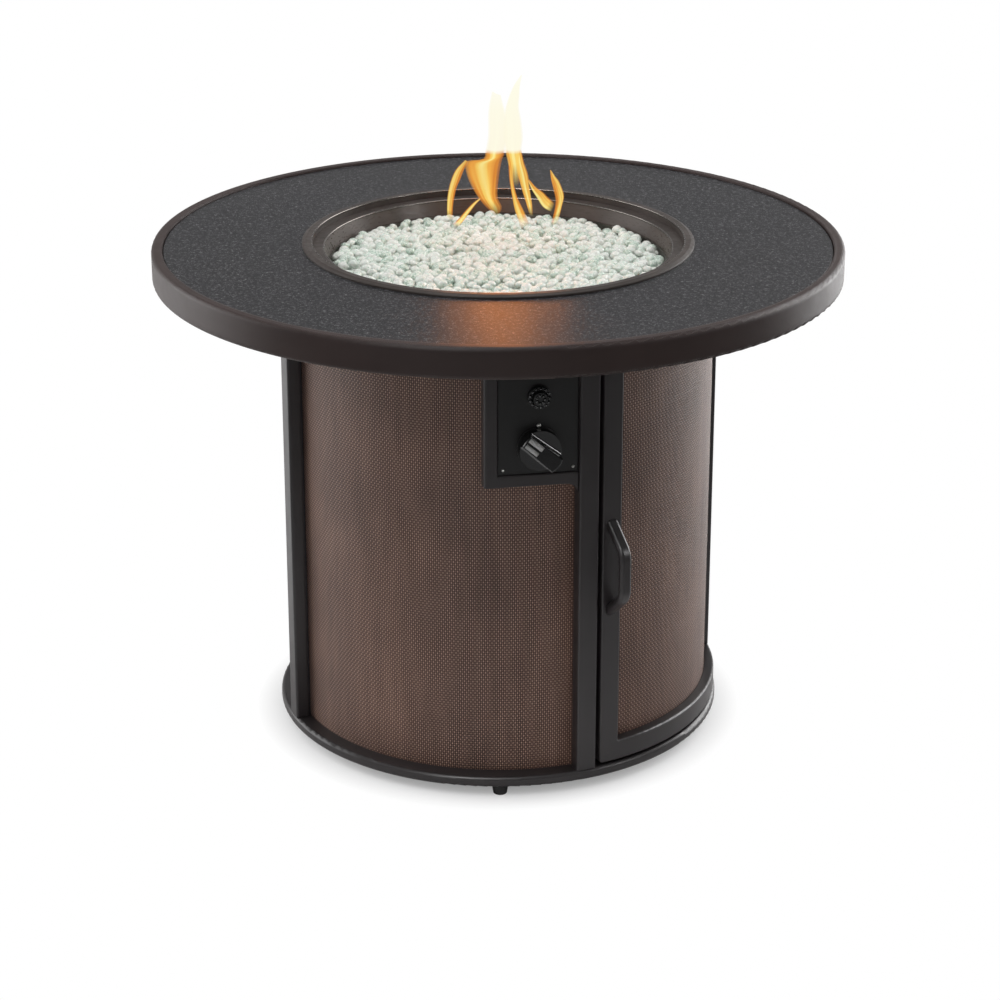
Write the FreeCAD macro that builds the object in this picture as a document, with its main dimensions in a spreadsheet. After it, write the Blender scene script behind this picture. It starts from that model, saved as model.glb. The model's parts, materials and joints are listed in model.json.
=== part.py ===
import FreeCAD, Part
import math
import operator
import os

import Sketcher
from FreeCAD import Placement, Rotation, Vector

# Round fire pit table: origin on the floor under the centre, +Z up.
# The control plate faces -Y. Compass angles are counted from -Y towards +X, in degrees.

SIZES = (
    ("table_diameter", 813, "outer diameter of the top"),
    ("table_height", 597, "floor to the lip of the top"),
    # Rolled edge of the top
    ("rim_height", 36, "height of the edge"),
    ("rim_lip", 13, "width of the lip round the panel"),
    ("rim_wall", 2, "sheet of the edge"),
    ("rim_step", 2.5, "depth of the panel below the lip"),
    ("rim_ledge", 22, "width of the ledge under the panel"),
    ("rim_return", 14, "width of the bottom return"),
    ("rim_top_round", 3.5, "rounding of the upper outer edge"),
    ("rim_low_round", 4, "rounding of the lower outer edge"),
    # Stone-look panel
    ("panel_thickness", 8, "panel"),
    ("panel_gap", 0.8, "gap between panel and lip"),
    ("panel_hole_radius", 222, "burner opening in the panel"),
    # Burner collar, pan and gems
    ("collar_radius", 231, "outer edge of the flange"),
    ("collar_edge", 2.5, "height of the flange's outer edge"),
    ("collar_crown", 4.5, "height of the flange's crown"),
    ("collar_slope", 4.5, "width of the sloping outer part"),
    ("collar_step_radius", 219.5, "inner edge of the flange"),
    ("collar_ledge_radius", 205.5, "inner edge of the recessed ledge"),
    ("collar_ledge_drop", 8.5, "ledge below the crown"),
    ("collar_throat_radius", 200.5, "upright skirt below the ledge"),
    ("collar_taper", 18, "height of the tapering wall"),
    ("collar_skirt", 15, "height of the upright skirt"),
    ("collar_wall", 2, "sheet of the collar"),
    ("pan_wall", 1.5, "sheet of the pan"),
    ("pan_depth", 52, "height of the pan"),
    ("pan_overlap", 14, "pan wall inside the skirt"),
    ("pan_corner", 14, "rounding of the pan's corner"),
    ("drain_radius", 3, "drain hole in the pan floor"),
    ("drain_circle", 150, "circle of the drain holes"),
    ("drains", 16, "number of drain holes"),
    ("slip_gap", 0.2, "gap between nested round sheets"),
    ("fill_depth_edge", 40, "depth of the gem bed at the wall"),
    ("fill_crown", 5, "rise of the gem bed in the middle"),
    ("gem_radius", 7.5, "one glass gem"),
    ("gem_pitch", 23, "spacing of the loose gems"),
    # Ring burner
    ("burner_ring_radius", 75, "centre line of the burner ring"),
    ("burner_tube_radius", 6.5, "outside of the burner tube"),
    ("burner_tube_wall", 1.2, "wall of the burner tube"),
    ("burner_port_radius", 1.2, "gas port"),
    ("burner_ports", 16, "number of gas ports"),
    ("burner_lift", 12, "burner centre line above the pan floor"),
    ("hub_radius", 12, "burner hub"),
    ("nipple_radius", 8, "threaded nipple"),
    ("nipple_flange_radius", 14, "flange of the nipple"),
    ("nipple_flange", 2, "thickness of the flange"),
    ("nipple_drop", 10, "nipple below the pan floor"),
    ("gas_bore", 4, "gas passage radius"),
    ("air_port_radius", 2, "air hole across the mixer"),
    ("mixer_radius", 9, "air mixer body"),
    ("mixer_length", 36, "air mixer from its elbow"),
    ("mixer_elbow_radius", 11.5, "elbow of the air mixer"),
    ("mixer_elbow_height", 21, "elbow of the air mixer"),
    ("gas_tube_radius", 4.8, "gas tube"),
    ("gas_tube_level", 50, "level run of the gas tube at either end"),
    ("electrode_angle", -20, "compass angle of the spark electrode"),
    ("electrode_radius", 90, "distance of the electrode from the centre"),
    ("electrode_ceramic", 3.2, "ceramic of the electrode"),
    ("electrode_pin", 1, "metal tip of the electrode"),
    ("electrode_below", 13, "ceramic below the pan floor"),
    ("electrode_above", 22, "ceramic above the pan floor"),
    ("electrode_tip", 10, "metal tip above the ceramic"),
    ("bracket_radius", 9.6, "foot of the electrode bracket"),
    ("bracket_sleeve_radius", 6.4, "sleeve of the electrode bracket"),
    ("bracket_height", 6, "electrode bracket"),
    ("bracket_thickness", 1.5, "foot of the electrode bracket"),
    ("lead_radius", 1.5, "igniter lead"),
    ("lead_rise", 26, "upright end of the lead under the electrode"),
    # Structure under the top
    ("ring_plate", 4, "thickness of the upper ring"),
    ("upper_ring_proud", 18, "upper ring's outer edge outside the mesh"),
    ("upper_ring_width", 34, "width of the upper ring"),
    ("arm_width", 30, "width of a support arm"),
    ("arm_height", 22, "height of a support arm"),
    ("arm_short", 2.5, "outer end of a support arm inside the lip"),
    ("arm_inset", 14, "inner end of a support arm inside the mesh"),
    # Base
    ("foot_height", 13, "glide under the ring"),
    ("foot_top_radius", 10, "glide at the ring"),
    ("foot_low_radius", 8, "glide at the floor"),
    ("foot_proud", 5, "glides' axes outside the mesh"),
    ("foot_angle", -9.5, "compass angle of the front glide"),
    ("foot_stem_radius", 4, "stem of the glide"),
    ("foot_stem", 9, "length of the stem"),
    ("base_ring_height", 13, "base ring"),
    ("base_ring_proud", 20, "base ring's outer edge outside the mesh"),
    ("base_ring_lap", 10, "base ring under the base plate"),
    ("base_ring_round", 4.5, "rounding of the ring's outer edges"),
    ("base_plate_gap", 0.5, "gap between base plate and lower hoop"),
    ("base_plate_thickness", 1.5, "base plate"),
    ("base_plate_hole", 60, "radius of the middle opening"),
    ("vent_radius", 5, "vent hole in the base plate"),
    ("vent_circle", 185, "circle of the vent holes"),
    ("vents", 16, "number of vent holes"),
    ("tank_ring_radius", 108, "inside of the tank locating ring"),
    ("tank_ring_wall", 2, "wall of the locating ring"),
    ("tank_ring_flange", 12, "flange of the locating ring"),
    ("tank_ring_height", 13, "height of the locating ring"),
    # Posts, hoops and mesh
    ("post_angle", 12.5, "compass angle of the post beside the controls"),
    ("post_width", 24, "face of a post"),
    ("post_depth", 15, "depth of a post"),
    ("post_proud", 19, "outer face of a post outside the mesh"),
    ("post_tongue", 16, "width of the tongue behind a post"),
    ("post_round", 2.5, "rounding of a post's outer edges"),
    ("mesh_radius", 250, "outer face of the fixed mesh"),
    ("mesh_thickness", 1.2, "woven mesh"),
    ("mesh_edge_angle", 0.3, "mesh edge short of the post's middle"),
    ("sheet_gap", 0.3, "gap between curved neighbours"),
    ("strip_thickness", 3, "clamp strip behind the mesh"),
    ("hoop_wall", 4, "hoop behind the mesh"),
    ("lower_hoop_height", 20, "lower hoop"),
    ("upper_hoop_height", 24, "upper hoop"),
    # Door
    ("door_gap", 5.5, "gap between the door and a post"),
    ("door_proud", 18, "outer face of the door frame outside the mesh"),
    ("door_depth", 12, "depth of the door frame"),
    ("door_gap_low", 3, "gap under the door"),
    ("door_gap_top", 3.5, "gap above the door"),
    ("door_stile", 25, "width of the door's upright members"),
    ("door_rail", 25, "height of the door's level members"),
    ("door_round", 2, "rounding of the door frame's edges"),
    ("door_corner", 5, "rounding of the door frame's corners"),
    ("door_mesh_lap", 7, "mesh behind the door frame"),
    ("retainer_thickness", 1.8, "strip that holds the door mesh"),
    ("pivot_proud", 11, "pivot axis outside the mesh"),
    ("pivot_edge", 6, "pivot axis from the door's edge"),
    ("pivot_radius", 3, "pivot pin"),
    ("pivot_shoulder", 4.4, "shoulder of the lower pin and head of the upper one"),
    ("pivot_head", 4, "height of the upper pin's head"),
    ("pivot_reach", 16, "pin inside the door"),
    ("pivot_sink", 8, "lower pin inside the base ring"),
    ("running_gap", 0.05, "clearance round a turning pin"),
    ("handle_height", 276, "middle of the handle"),
    ("handle_length", 118, "handle, foot to foot outside"),
    ("handle_grip", 58, "outer run of the handle between its bends"),
    ("handle_reach", 33, "handle in front of the door"),
    ("handle_bar", 9.5, "thickness of the handle bar"),
    ("handle_width", 14, "width of the handle bar"),
    ("handle_foot", 15, "height of a handle foot"),
    ("handle_bend", 26, "outer radius of the handle's bends"),
    ("handle_round", 4, "rounding of the handle"),
    ("handle_screw_inset", 11.5, "handle screw from the end of the handle"),
    ("handle_screw_radius", 2, "handle screw"),
    ("handle_screw_head", 3.6, "head of the handle screw"),
    ("handle_screw_sink", 3, "sinking of the head"),
    ("handle_screw_bite", 6.5, "screw inside the handle"),
    ("header_height", 15.5, "door header under the upper ring"),
    ("header_wall", 3.6, "thickness of the header"),
    ("catch_angle", 25, "compass angle of the magnetic catch"),
    ("catch_width", 38, "magnet housing"),
    ("catch_depth", 12, "magnet housing"),
    ("catch_height", 17, "magnet housing"),
    ("strike_width", 30, "strike plate"),
    ("strike_height", 13, "strike plate"),
    ("strike_thickness", 1.5, "strike plate"),
    # Control box
    ("box_proud", 11, "front of the control frame outside the mesh"),
    ("box_left", 62, "outer left edge of the frame"),
    ("box_member", 15.6, "width of the frame's left member"),
    ("box_low_member", 14, "height of the frame's lower member"),
    ("box_top_member", 14, "height of the frame's upper member"),
    ("box_drop", 212, "bottom of the frame below the lip"),
    ("box_round", 4, "rounding of the frame's outer edges"),
    ("box_web", 13, "hollow corner between the frame and the post"),
    ("plate_recess", 1.8, "plate behind the frame's face"),
    ("plate_thickness", 2, "control plate"),
    ("plate_flange", 9, "folded edges of the plate"),
    ("plate_flange_short", 7, "lower folded edge ends before the post"),
    ("plate_gap", 0.4, "gap round the plate"),
    ("igniter_drop", 107, "igniter axis below the lip"),
    ("igniter_radius", 10.8, "igniter body"),
    ("igniter_length", 52, "igniter body"),
    ("igniter_front", 3, "igniter body in front of the plate"),
    ("igniter_bezel_radius", 13, "knurled ring"),
    ("igniter_bezel_height", 6, "knurled ring"),
    ("igniter_button_radius", 8, "push button"),
    ("igniter_button_proud", 5, "button in front of the ring"),
    ("igniter_button_length", 17, "push button"),
    ("igniter_travel", 4, "stroke of the button"),
    ("igniter_room", 3, "room left behind the pressed button"),
    ("igniter_nut_radius", 15, "nut behind the plate, to its flats"),
    ("igniter_nut_height", 4, "nut behind the plate"),
    ("fit_gap", 0.1, "clearance of a sliding part"),
    ("knob_drop", 167, "knob axis below the lip"),
    ("knob_radius", 23.5, "skirt of the knob"),
    ("knob_skirt", 6, "height of the skirt"),
    ("knob_grip_narrow", 16, "width of the grip at its pointing end"),
    ("knob_grip_wide", 20, "width of the grip at its other end"),
    ("knob_grip_low", 7, "height of the grip at its pointing end"),
    ("knob_grip_high", 15, "height of the grip at its other end"),
    ("knob_scoop", 3, "hollow rounding beside the grip"),
    ("knob_round", 1.5, "rounding of the knob's front edges"),
    ("knob_turn", 40, "slope of the grip at rest"),
    ("knob_gap", 5, "knob in front of the bezel"),
    ("knob_travel", 3.5, "stroke of the knob"),
    ("knob_bezel_radius", 24.5, "disc behind the knob"),
    ("knob_bezel_height", 1.2, "disc behind the knob"),
    ("stem_radius", 3, "valve stem"),
    ("stem_in_knob", 10, "stem inside the knob"),
    ("stem_in_plug", 16.5, "stem's hole in the turning plug"),
    ("stem_hole_radius", 7, "hole for the stem in the plate and the disc"),
    ("stem_collar_radius", 5, "collar on the stem"),
    ("stem_collar_height", 2, "collar on the stem"),
    ("valve_screw_offset", 20.5, "valve screws above and below the stem"),
    ("valve_screw_radius", 1.8, "valve screw"),
    ("valve_screw_head", 2.6, "head of the valve screw"),
    ("valve_screw_proud", 1.3, "height of the valve screw's head"),
    ("valve_flange_width", 32, "valve flange"),
    ("valve_flange_height", 56, "valve flange"),
    ("valve_flange", 3, "thickness of the valve flange"),
    ("valve_neck_radius", 11, "valve neck"),
    ("valve_neck", 18, "length of the valve neck"),
    ("valve_block", 30, "side of the valve block"),
    ("valve_block_depth", 32, "depth of the valve block"),
    ("valve_plug_radius", 8, "turning plug"),
    ("valve_plug_length", 22, "turning plug"),
    ("inlet_hex", 9, "inlet fitting, to its flats"),
    ("inlet_hex_height", 8, "hexagon of the inlet fitting"),
    ("inlet_thread_radius", 7.94, "thread of the inlet fitting"),
    ("inlet_thread", 16, "length of the thread"),
    # Frame screws
    ("screw_radius", 3, "frame screw"),
    ("screw_head", 5.5, "head of a frame screw"),
    ("screw_head_height", 4, "head of a frame screw"),
    ("screw_gap", 0.2, "clearance round a screw"),
    ("screw_proud", 11, "frame screws' axes outside the mesh"),
    ("screw_bite", 16, "screw inside a post"),
    # Shared by several parts
    ("small_round", 0.8, "broken edge of a small part"),
    ("sheet_round", 2, "bend of a folded sheet"),
    ("past", 1, "how far a cut reaches past what it cuts"),
)

# Bends of the igniter lead from the back of the igniter: sideways, inwards and upwards
LEAD_BENDS = ((0, 24, 0), (-4, 60, -16), (-24, 98, -20))
# Share of a straight run that a bend at its end may take
BEND_SHARE = 0.45

OPERATIONS = {"+": operator.add, "-": operator.sub, "*": operator.mul, "/": operator.truediv}


class Size:
    """A length, angle or count with the sheet expression that it comes from."""

    def __init__(self, text, number):
        self.text = text
        self.number = number

    def __add__(self, other):
        return combine(self, "+", other)

    def __radd__(self, other):
        return combine(other, "+", self)

    def __sub__(self, other):
        return combine(self, "-", other)

    def __rsub__(self, other):
        return combine(other, "-", self)

    def __mul__(self, other):
        return combine(self, "*", other)

    def __rmul__(self, other):
        return combine(other, "*", self)

    def __truediv__(self, other):
        return combine(self, "/", other)

    def __neg__(self):
        return combine(0, "-", self)

    def __float__(self):
        return float(self.number)


def as_size(value):
    """A plain number as a size."""
    if isinstance(value, Size):
        return value
    return Size("(%r)" % float(value), float(value))


def combine(left, sign, right):
    """Two sizes joined by an arithmetic sign."""
    left = as_size(left)
    right = as_size(right)
    number = OPERATIONS[sign](left.number, right.number)
    return Size("(%s %s %s)" % (left.text, sign, right.text), number)


def sine(angle):
    return Size("sin(%s)" % angle.text, math.sin(math.radians(float(angle))))


def cosine(angle):
    return Size("cos(%s)" % angle.text, math.cos(math.radians(float(angle))))


def arc_angle(length, radius):
    """Degrees of arc that a length takes on a circle."""
    return length / radius * (180 / math.pi)


class Names:
    """The sizes of the sheet by their aliases."""


document = FreeCAD.newDocument("FirePitTable")
sheet = document.addObject("Spreadsheet::Sheet", "Sizes")
size = Names()
for row, (alias, value, meaning) in enumerate(SIZES, start=1):
    sheet.set("A%d" % row, meaning)
    sheet.set("B%d" % row, str(value))
    sheet.setAlias("B%d" % row, alias)
    setattr(size, alias, Size("Sizes." + alias, value))
document.recompute()

sub_parts = []


def bind(thing, name, value):
    """Ties one property to the sheet."""
    thing.setExpression(name, as_size(value).text)


def place(thing, x=None, y=None, z=None, turn=None):
    """Moves a sub-part and turns it about the upright axis."""
    if turn is not None:
        thing.Placement = Placement(Vector(), Rotation(Vector(0, 0, 1), float(turn)))
        bind(thing, "Placement.Rotation.Angle", turn)
    for letter, value in (("x", x), ("y", y), ("z", z)):
        if value is not None:
            bind(thing, "Placement.Base." + letter, value)


def keep(thing, label):
    """Names a finished sub-part."""
    thing.Label = label
    sub_parts.append(thing)
    return thing


def new_body(label):
    body = document.addObject("PartDesign::Body", label)
    body.AllowCompound = True
    return keep(body, label)


def new_sketch(body, role, turn=None, offset=None):
    """A sketch on an origin plane, turned about the plane's upright and moved off it."""
    sketch = body.newObject("Sketcher::SketchObject", body.Label + "_sketch")
    plane = [item for item in body.Origin.OriginFeatures if item.Role == role][0]
    sketch.AttachmentSupport = [(plane, "")]
    sketch.MapMode = "FlatFace"
    upright = Vector(0, 0, 1) if role == "XY_Plane" else Vector(0, 1, 0)
    if turn is not None:
        turn = as_size(turn)
        sketch.AttachmentOffset = Placement(Vector(), Rotation(upright, float(turn)))
        bind(sketch, "AttachmentOffset.Rotation.Angle", turn)
    if offset is not None:
        bind(sketch, "AttachmentOffset.Base.z", offset)
    return sketch


def fix_point(sketch, geometry, end, across, up):
    """Holds a point at its distances from the sketch's origin."""
    for kind, value, axis in (("DistanceX", as_size(across), -2), ("DistanceY", as_size(up), -1)):
        if abs(float(value)) < 1e-9:
            sketch.addConstraint(Sketcher.Constraint("PointOnObject", geometry, end, axis))
            continue
        index = sketch.addConstraint(
            Sketcher.Constraint(kind, -1, 1, geometry, end, float(value)))
        bind(sketch, "Constraints[%d]" % index, value)


def outline(sketch, points):
    """A closed line through the points."""
    corners = [Vector(float(across), float(up), 0) for across, up in points]
    count = len(corners)
    first = sketch.GeometryCount
    for index in range(count):
        sketch.addGeometry(Part.LineSegment(corners[index], corners[(index + 1) % count]), False)
    for index in range(count):
        following = first + (index + 1) % count
        sketch.addConstraint(Sketcher.Constraint("Coincident", first + index, 2, following, 1))
        fix_point(sketch, first + index, 1, *points[index])
    return sketch


def circle(sketch, across, up, radius):
    """A circle by its centre and radius."""
    index = sketch.addGeometry(
        Part.Circle(Vector(float(across), float(up), 0), Vector(0, 0, 1), float(radius)), False)
    rule = sketch.addConstraint(Sketcher.Constraint("Radius", index, float(radius)))
    bind(sketch, "Constraints[%d]" % rule, radius)
    fix_point(sketch, index, 3, across, up)
    return sketch


def box_points(left, right, low, high):
    return [(left, low), (right, low), (right, high), (left, high)]


def revolve(body, points, start=None, sweep=360, cut=False):
    """A profile of radius and height turned about the upright axis."""
    turn = None if start is None else from_x(start)
    sketch = outline(new_sketch(body, "XZ_Plane", turn), points)
    kind = "PartDesign::Groove" if cut else "PartDesign::Revolution"
    feature = body.newObject(kind, body.Label + "_turned")
    feature.Profile = sketch
    feature.ReferenceAxis = (sketch, ["V_Axis"])
    bind(feature, "Angle", sweep)
    sketch.Visibility = False
    return feature


def pad(body, sketch, length, midplane=False, backwards=False, cut=False):
    """A sketch pushed out along its normal, or cut away against it."""
    kind = "PartDesign::Pocket" if cut else "PartDesign::Pad"
    feature = body.newObject(kind, body.Label + ("_cut" if cut else "_pad"))
    feature.Profile = sketch
    bind(feature, "Length", length)
    if midplane:
        feature.SideType = "Symmetric"
    feature.Reversed = backwards
    sketch.Visibility = False
    return feature


def pattern(body, originals, count):
    """Features repeated evenly about the upright axis."""
    feature = body.newObject("PartDesign::PolarPattern", body.Label + "_pattern")
    feature.Originals = originals
    axis = [item for item in body.Origin.OriginFeatures if item.Role == "Z_Axis"][0]
    feature.Axis = (axis, [""])
    feature.Angle = 360
    bind(feature, "Occurrences", count)
    body.Tip = feature
    return feature


def round_edges(body, radius, test):
    """Rounds the edges of the body's last feature that pass a test of their points."""
    document.recompute()
    base = body.Tip
    names = []
    for index, edge in enumerate(base.Shape.Edges, start=1):
        samples = edge.discretize(5)
        if all(test(point) for point in samples):
            names.append("Edge%d" % index)
    feature = body.newObject("PartDesign::Fillet", body.Label + "_round")
    feature.Base = (base, names)
    bind(feature, "Radius", radius)
    return feature


SLACK = 0.02


def near(value, target):
    return abs(value - float(target)) < SLACK


def distance_out(point):
    return math.hypot(point.x, point.y)


def compass_of(point):
    """The compass angle of a point, from -Y towards +X."""
    return math.degrees(math.atan2(point.x, -point.y))


# Heights and radii that several parts share
top = size.table_height
rim_radius = size.table_diameter / 2
lip_radius = rim_radius - size.rim_lip
panel_top = top - size.rim_step
panel_bottom = panel_top - size.panel_thickness
arm_bottom = panel_bottom - size.arm_height
ring_level = arm_bottom - size.ring_plate
base_low = size.foot_height
base_top = base_low + size.base_ring_height
plate_top = base_top + size.base_plate_thickness
mesh_inner = size.mesh_radius - size.mesh_thickness
hoop_outer = mesh_inner - size.sheet_gap
hoop_inner = hoop_outer - size.hoop_wall
base_ring_outer = size.mesh_radius + size.base_ring_proud
base_plate_radius = hoop_inner - size.base_plate_gap
upper_ring_outer = size.mesh_radius + size.upper_ring_proud
post_face = size.mesh_radius + size.post_proud
door_outer = size.mesh_radius + size.door_proud
door_inner = door_outer - size.door_depth
pivot_circle = size.mesh_radius + size.pivot_proud
screw_circle = size.mesh_radius + size.screw_proud
foot_circle = size.mesh_radius + size.foot_proud
box_face = size.mesh_radius + size.box_proud
crown_level = panel_top + size.collar_crown
collar_low = crown_level - size.collar_ledge_drop - size.collar_taper - size.collar_skirt
pan_top = collar_low + size.pan_overlap
pan_radius = size.collar_throat_radius - size.slip_gap
pan_low = pan_top - size.pan_depth
pan_floor = pan_low + size.pan_wall
POSTS = ("control", "hinge", "rear", "left")
QUARTER = 90


def from_x(compass):
    """The turn about Z that brings a part from +X to a compass angle."""
    return as_size(compass) - QUARTER


def compass_x(radius, compass):
    return radius * sine(as_size(compass))


def compass_y(radius, compass):
    return -(radius * cosine(as_size(compass)))


def make_top():
    """Rolled edge, the ledge ring welded inside it, and the stone-look panel."""
    wall = size.rim_wall
    low = top - size.rim_height
    ledge = lip_radius - size.rim_ledge
    body = new_body("top_rim")
    revolve(body, [
        (rim_radius, low),
        (rim_radius, top),
        (lip_radius, top),
        (lip_radius, panel_bottom),
        (lip_radius + wall, panel_bottom),
        (lip_radius + wall, top - wall),
        (rim_radius - wall, top - wall),
        (rim_radius - wall, low + wall),
        (rim_radius - size.rim_return, low + wall),
        (rim_radius - size.rim_return, low),
    ])
    round_edges(body, size.rim_top_round,
                lambda p: near(distance_out(p), rim_radius) and near(p.z, top))
    round_edges(body, size.rim_low_round,
                lambda p: near(distance_out(p), rim_radius) and near(p.z, low))
    round_edges(body, size.rim_wall / 2,
                lambda p: near(distance_out(p), lip_radius) and near(p.z, top))

    body = new_body("panel_ledge")
    revolve(body, box_points(ledge, lip_radius + wall, panel_bottom - wall, panel_bottom))

    body = new_body("top_panel")
    revolve(body, box_points(size.panel_hole_radius, lip_radius - size.panel_gap,
                             panel_bottom, panel_top))
    round_edges(body, size.small_round, lambda p: near(p.z, panel_top))


def make_collar():
    """Formed ring in the panel's opening, and the tapered throat welded under it."""
    wall = size.collar_wall
    flange_inner = size.collar_step_radius
    ledge_level = crown_level - size.collar_ledge_drop
    neck = flange_inner + wall - size.panel_gap
    body = new_body("burner_collar")
    revolve(body, [
        (size.collar_radius, panel_top),
        (size.collar_radius, panel_top + size.collar_edge),
        (size.collar_radius - size.collar_slope, crown_level),
        (flange_inner, crown_level),
        (flange_inner - size.panel_gap, ledge_level),
        (size.collar_ledge_radius, ledge_level),
        (size.collar_ledge_radius, ledge_level - wall),
        (neck, ledge_level - wall),
        (neck, panel_top),
    ])
    round_edges(body, size.collar_wall / 2,
                lambda p: near(p.z, crown_level) or near(p.z, panel_top + size.collar_edge)
                or (near(p.z, ledge_level) and near(distance_out(p), size.collar_ledge_radius)))

    body = new_body("collar_throat")
    revolve(body, [
        (size.collar_ledge_radius, ledge_level - wall),
        (size.collar_ledge_radius + wall, ledge_level - wall),
        (size.collar_throat_radius + wall, ledge_level - size.collar_taper),
        (size.collar_throat_radius + wall, collar_low),
        (size.collar_throat_radius, collar_low),
        (size.collar_throat_radius, ledge_level - size.collar_taper),
    ])


def make_pan():
    """Bowl under the collar, with holes for the nipple, the electrode and water."""
    wall = size.pan_wall
    body = new_body("burner_pan")
    revolve(body, [
        (size.nipple_radius + size.screw_gap, pan_low),
        (pan_radius, pan_low),
        (pan_radius, pan_top),
        (pan_radius - wall, pan_top),
        (pan_radius - wall, pan_floor),
        (size.nipple_radius + size.screw_gap, pan_floor),
    ])
    round_edges(body, size.pan_corner,
                lambda p: near(distance_out(p), pan_radius) and near(p.z, pan_low))
    round_edges(body, size.pan_corner - wall,
                lambda p: near(distance_out(p), pan_radius - wall) and near(p.z, pan_floor))
    sketch = new_sketch(body, "XY_Plane", from_x(size.electrode_angle), pan_floor + wall)
    circle(sketch, size.electrode_radius, 0, size.electrode_ceramic + size.screw_gap)
    pad(body, sketch, wall * 2 + size.past, cut=True)
    drain = circle(new_sketch(body, "XY_Plane", None, pan_floor + wall),
                   size.drain_circle, 0, size.drain_radius)
    pattern(body, [pad(body, drain, wall * 2 + size.past, cut=True)], size.drains)


def cylinder(name, radius, height, x=0, y=0, z=0, axis=None):
    """A primitive cylinder, upright unless an axis is given."""
    item = document.addObject("Part::Cylinder", name)
    bind(item, "Radius", radius)
    bind(item, "Height", height)
    if axis is not None:
        item.Placement = Placement(Vector(), Rotation(Vector(0, 0, 1), axis))
    place(item, x, y, z)
    return item


def ring(name, radius, tube, z):
    item = document.addObject("Part::Torus", name)
    bind(item, "Radius1", radius)
    bind(item, "Radius2", tube)
    place(item, 0, 0, z)
    return item


def fuse(name, items):
    item = document.addObject("Part::MultiFuse", name)
    item.Shapes = items
    return item


def cut(name, base, tool):
    item = document.addObject("Part::Cut", name)
    item.Base = base
    item.Tool = tool
    return item


def burner_solid(name, grow):
    """Ring, spokes and hub of the burner, grown by a clearance."""
    level = pan_floor + size.burner_lift
    tube = size.burner_tube_radius + grow
    hub_low = pan_floor + size.nipple_flange + size.sheet_gap - grow
    hub_high = level + size.burner_tube_radius + grow
    spoke = size.burner_ring_radius * 2
    return fuse(name, [
        ring(name + "_ring", size.burner_ring_radius, tube, level),
        cylinder(name + "_spokes", tube - size.burner_tube_wall, spoke,
                 -size.burner_ring_radius, 0, level, Vector(1, 0, 0)),
        cylinder(name + "_hub", size.hub_radius + grow, hub_high - hub_low, 0, 0, hub_low),
    ])


def make_burner():
    """Hollow ring burner with ports on top, on a nipple through the pan floor."""
    level = pan_floor + size.burner_lift
    inside = size.burner_tube_radius - size.burner_tube_wall
    hollow = [
        ring("burner_hollow", size.burner_ring_radius, inside, level),
        cylinder("burner_bore", size.gas_bore, size.burner_ring_radius * 2,
                 -size.burner_ring_radius, 0, level, Vector(1, 0, 0)),
        cylinder("hub_bore", size.gas_bore, size.burner_lift, 0, 0, level - size.burner_lift),
    ]
    count = int(float(size.burner_ports))
    for index in range(count):
        angle = as_size((index + 0.5) * 360 / count)
        hollow.append(cylinder(
            "port_%d" % index, size.burner_port_radius, size.burner_tube_radius * 2,
            size.burner_ring_radius * cosine(angle), size.burner_ring_radius * sine(angle), level))
    burner = cut("burner", burner_solid("burner_shell", as_size(0)), fuse("burner_hollows", hollow))
    keep(burner, "burner_tube")

    drop = size.nipple_drop
    flange_top = pan_floor + size.nipple_flange
    body = new_body("burner_nipple")
    revolve(body, [
        (size.gas_bore, pan_low - drop),
        (size.nipple_radius, pan_low - drop),
        (size.nipple_radius, pan_floor),
        (size.nipple_flange_radius, pan_floor),
        (size.nipple_flange_radius, flange_top),
        (size.gas_bore, flange_top),
    ])

    elbow_high = pan_low - drop
    elbow_low = elbow_high - size.mixer_elbow_height
    axis_level = elbow_high - size.mixer_elbow_height / 2
    mixer = fuse("mixer_shell", [
        cylinder("mixer_elbow", size.mixer_elbow_radius, size.mixer_elbow_height, 0, 0, elbow_low),
        cylinder("mixer_body", size.mixer_radius, size.mixer_length,
                 0, -size.mixer_length, axis_level, Vector(0, 1, 0)),
    ])
    passages = fuse("mixer_passages", [
        cylinder("mixer_outlet", size.gas_bore, size.mixer_elbow_height, 0, 0, axis_level),
        cylinder("mixer_inlet", size.gas_bore, size.mixer_length,
                 0, -size.mixer_length, axis_level, Vector(0, 1, 0)),
        cylinder("mixer_air", size.air_port_radius, (size.mixer_radius + size.past) * 2,
                 -(size.mixer_radius + size.past), -size.mixer_length / 2, axis_level,
                 Vector(1, 0, 0)),
    ])
    keep(cut("mixer", mixer, passages), "air_mixer")


def electrode_place(thing):
    place(thing, compass_x(size.electrode_radius, size.electrode_angle),
          compass_y(size.electrode_radius, size.electrode_angle))


def make_electrode():
    """Spark electrode, its bracket on the pan floor, and the clearance it needs in the bed."""
    low = pan_floor - size.electrode_below
    high = pan_floor + size.electrode_above
    body = new_body("spark_electrode")
    revolve(body, [
        (0, low),
        (size.electrode_ceramic, low),
        (size.electrode_ceramic, high),
        (size.electrode_pin, high),
        (size.electrode_pin, high + size.electrode_tip),
        (0, high + size.electrode_tip),
    ])
    electrode_place(body)

    body = new_body("electrode_bracket")
    revolve(body, [
        (size.electrode_ceramic + size.fit_gap, pan_floor),
        (size.bracket_radius, pan_floor),
        (size.bracket_radius, pan_floor + size.bracket_thickness),
        (size.bracket_sleeve_radius, pan_floor + size.bracket_thickness),
        (size.bracket_sleeve_radius, pan_floor + size.bracket_height),
        (size.electrode_ceramic + size.fit_gap, pan_floor + size.bracket_height),
    ])
    electrode_place(body)


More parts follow.
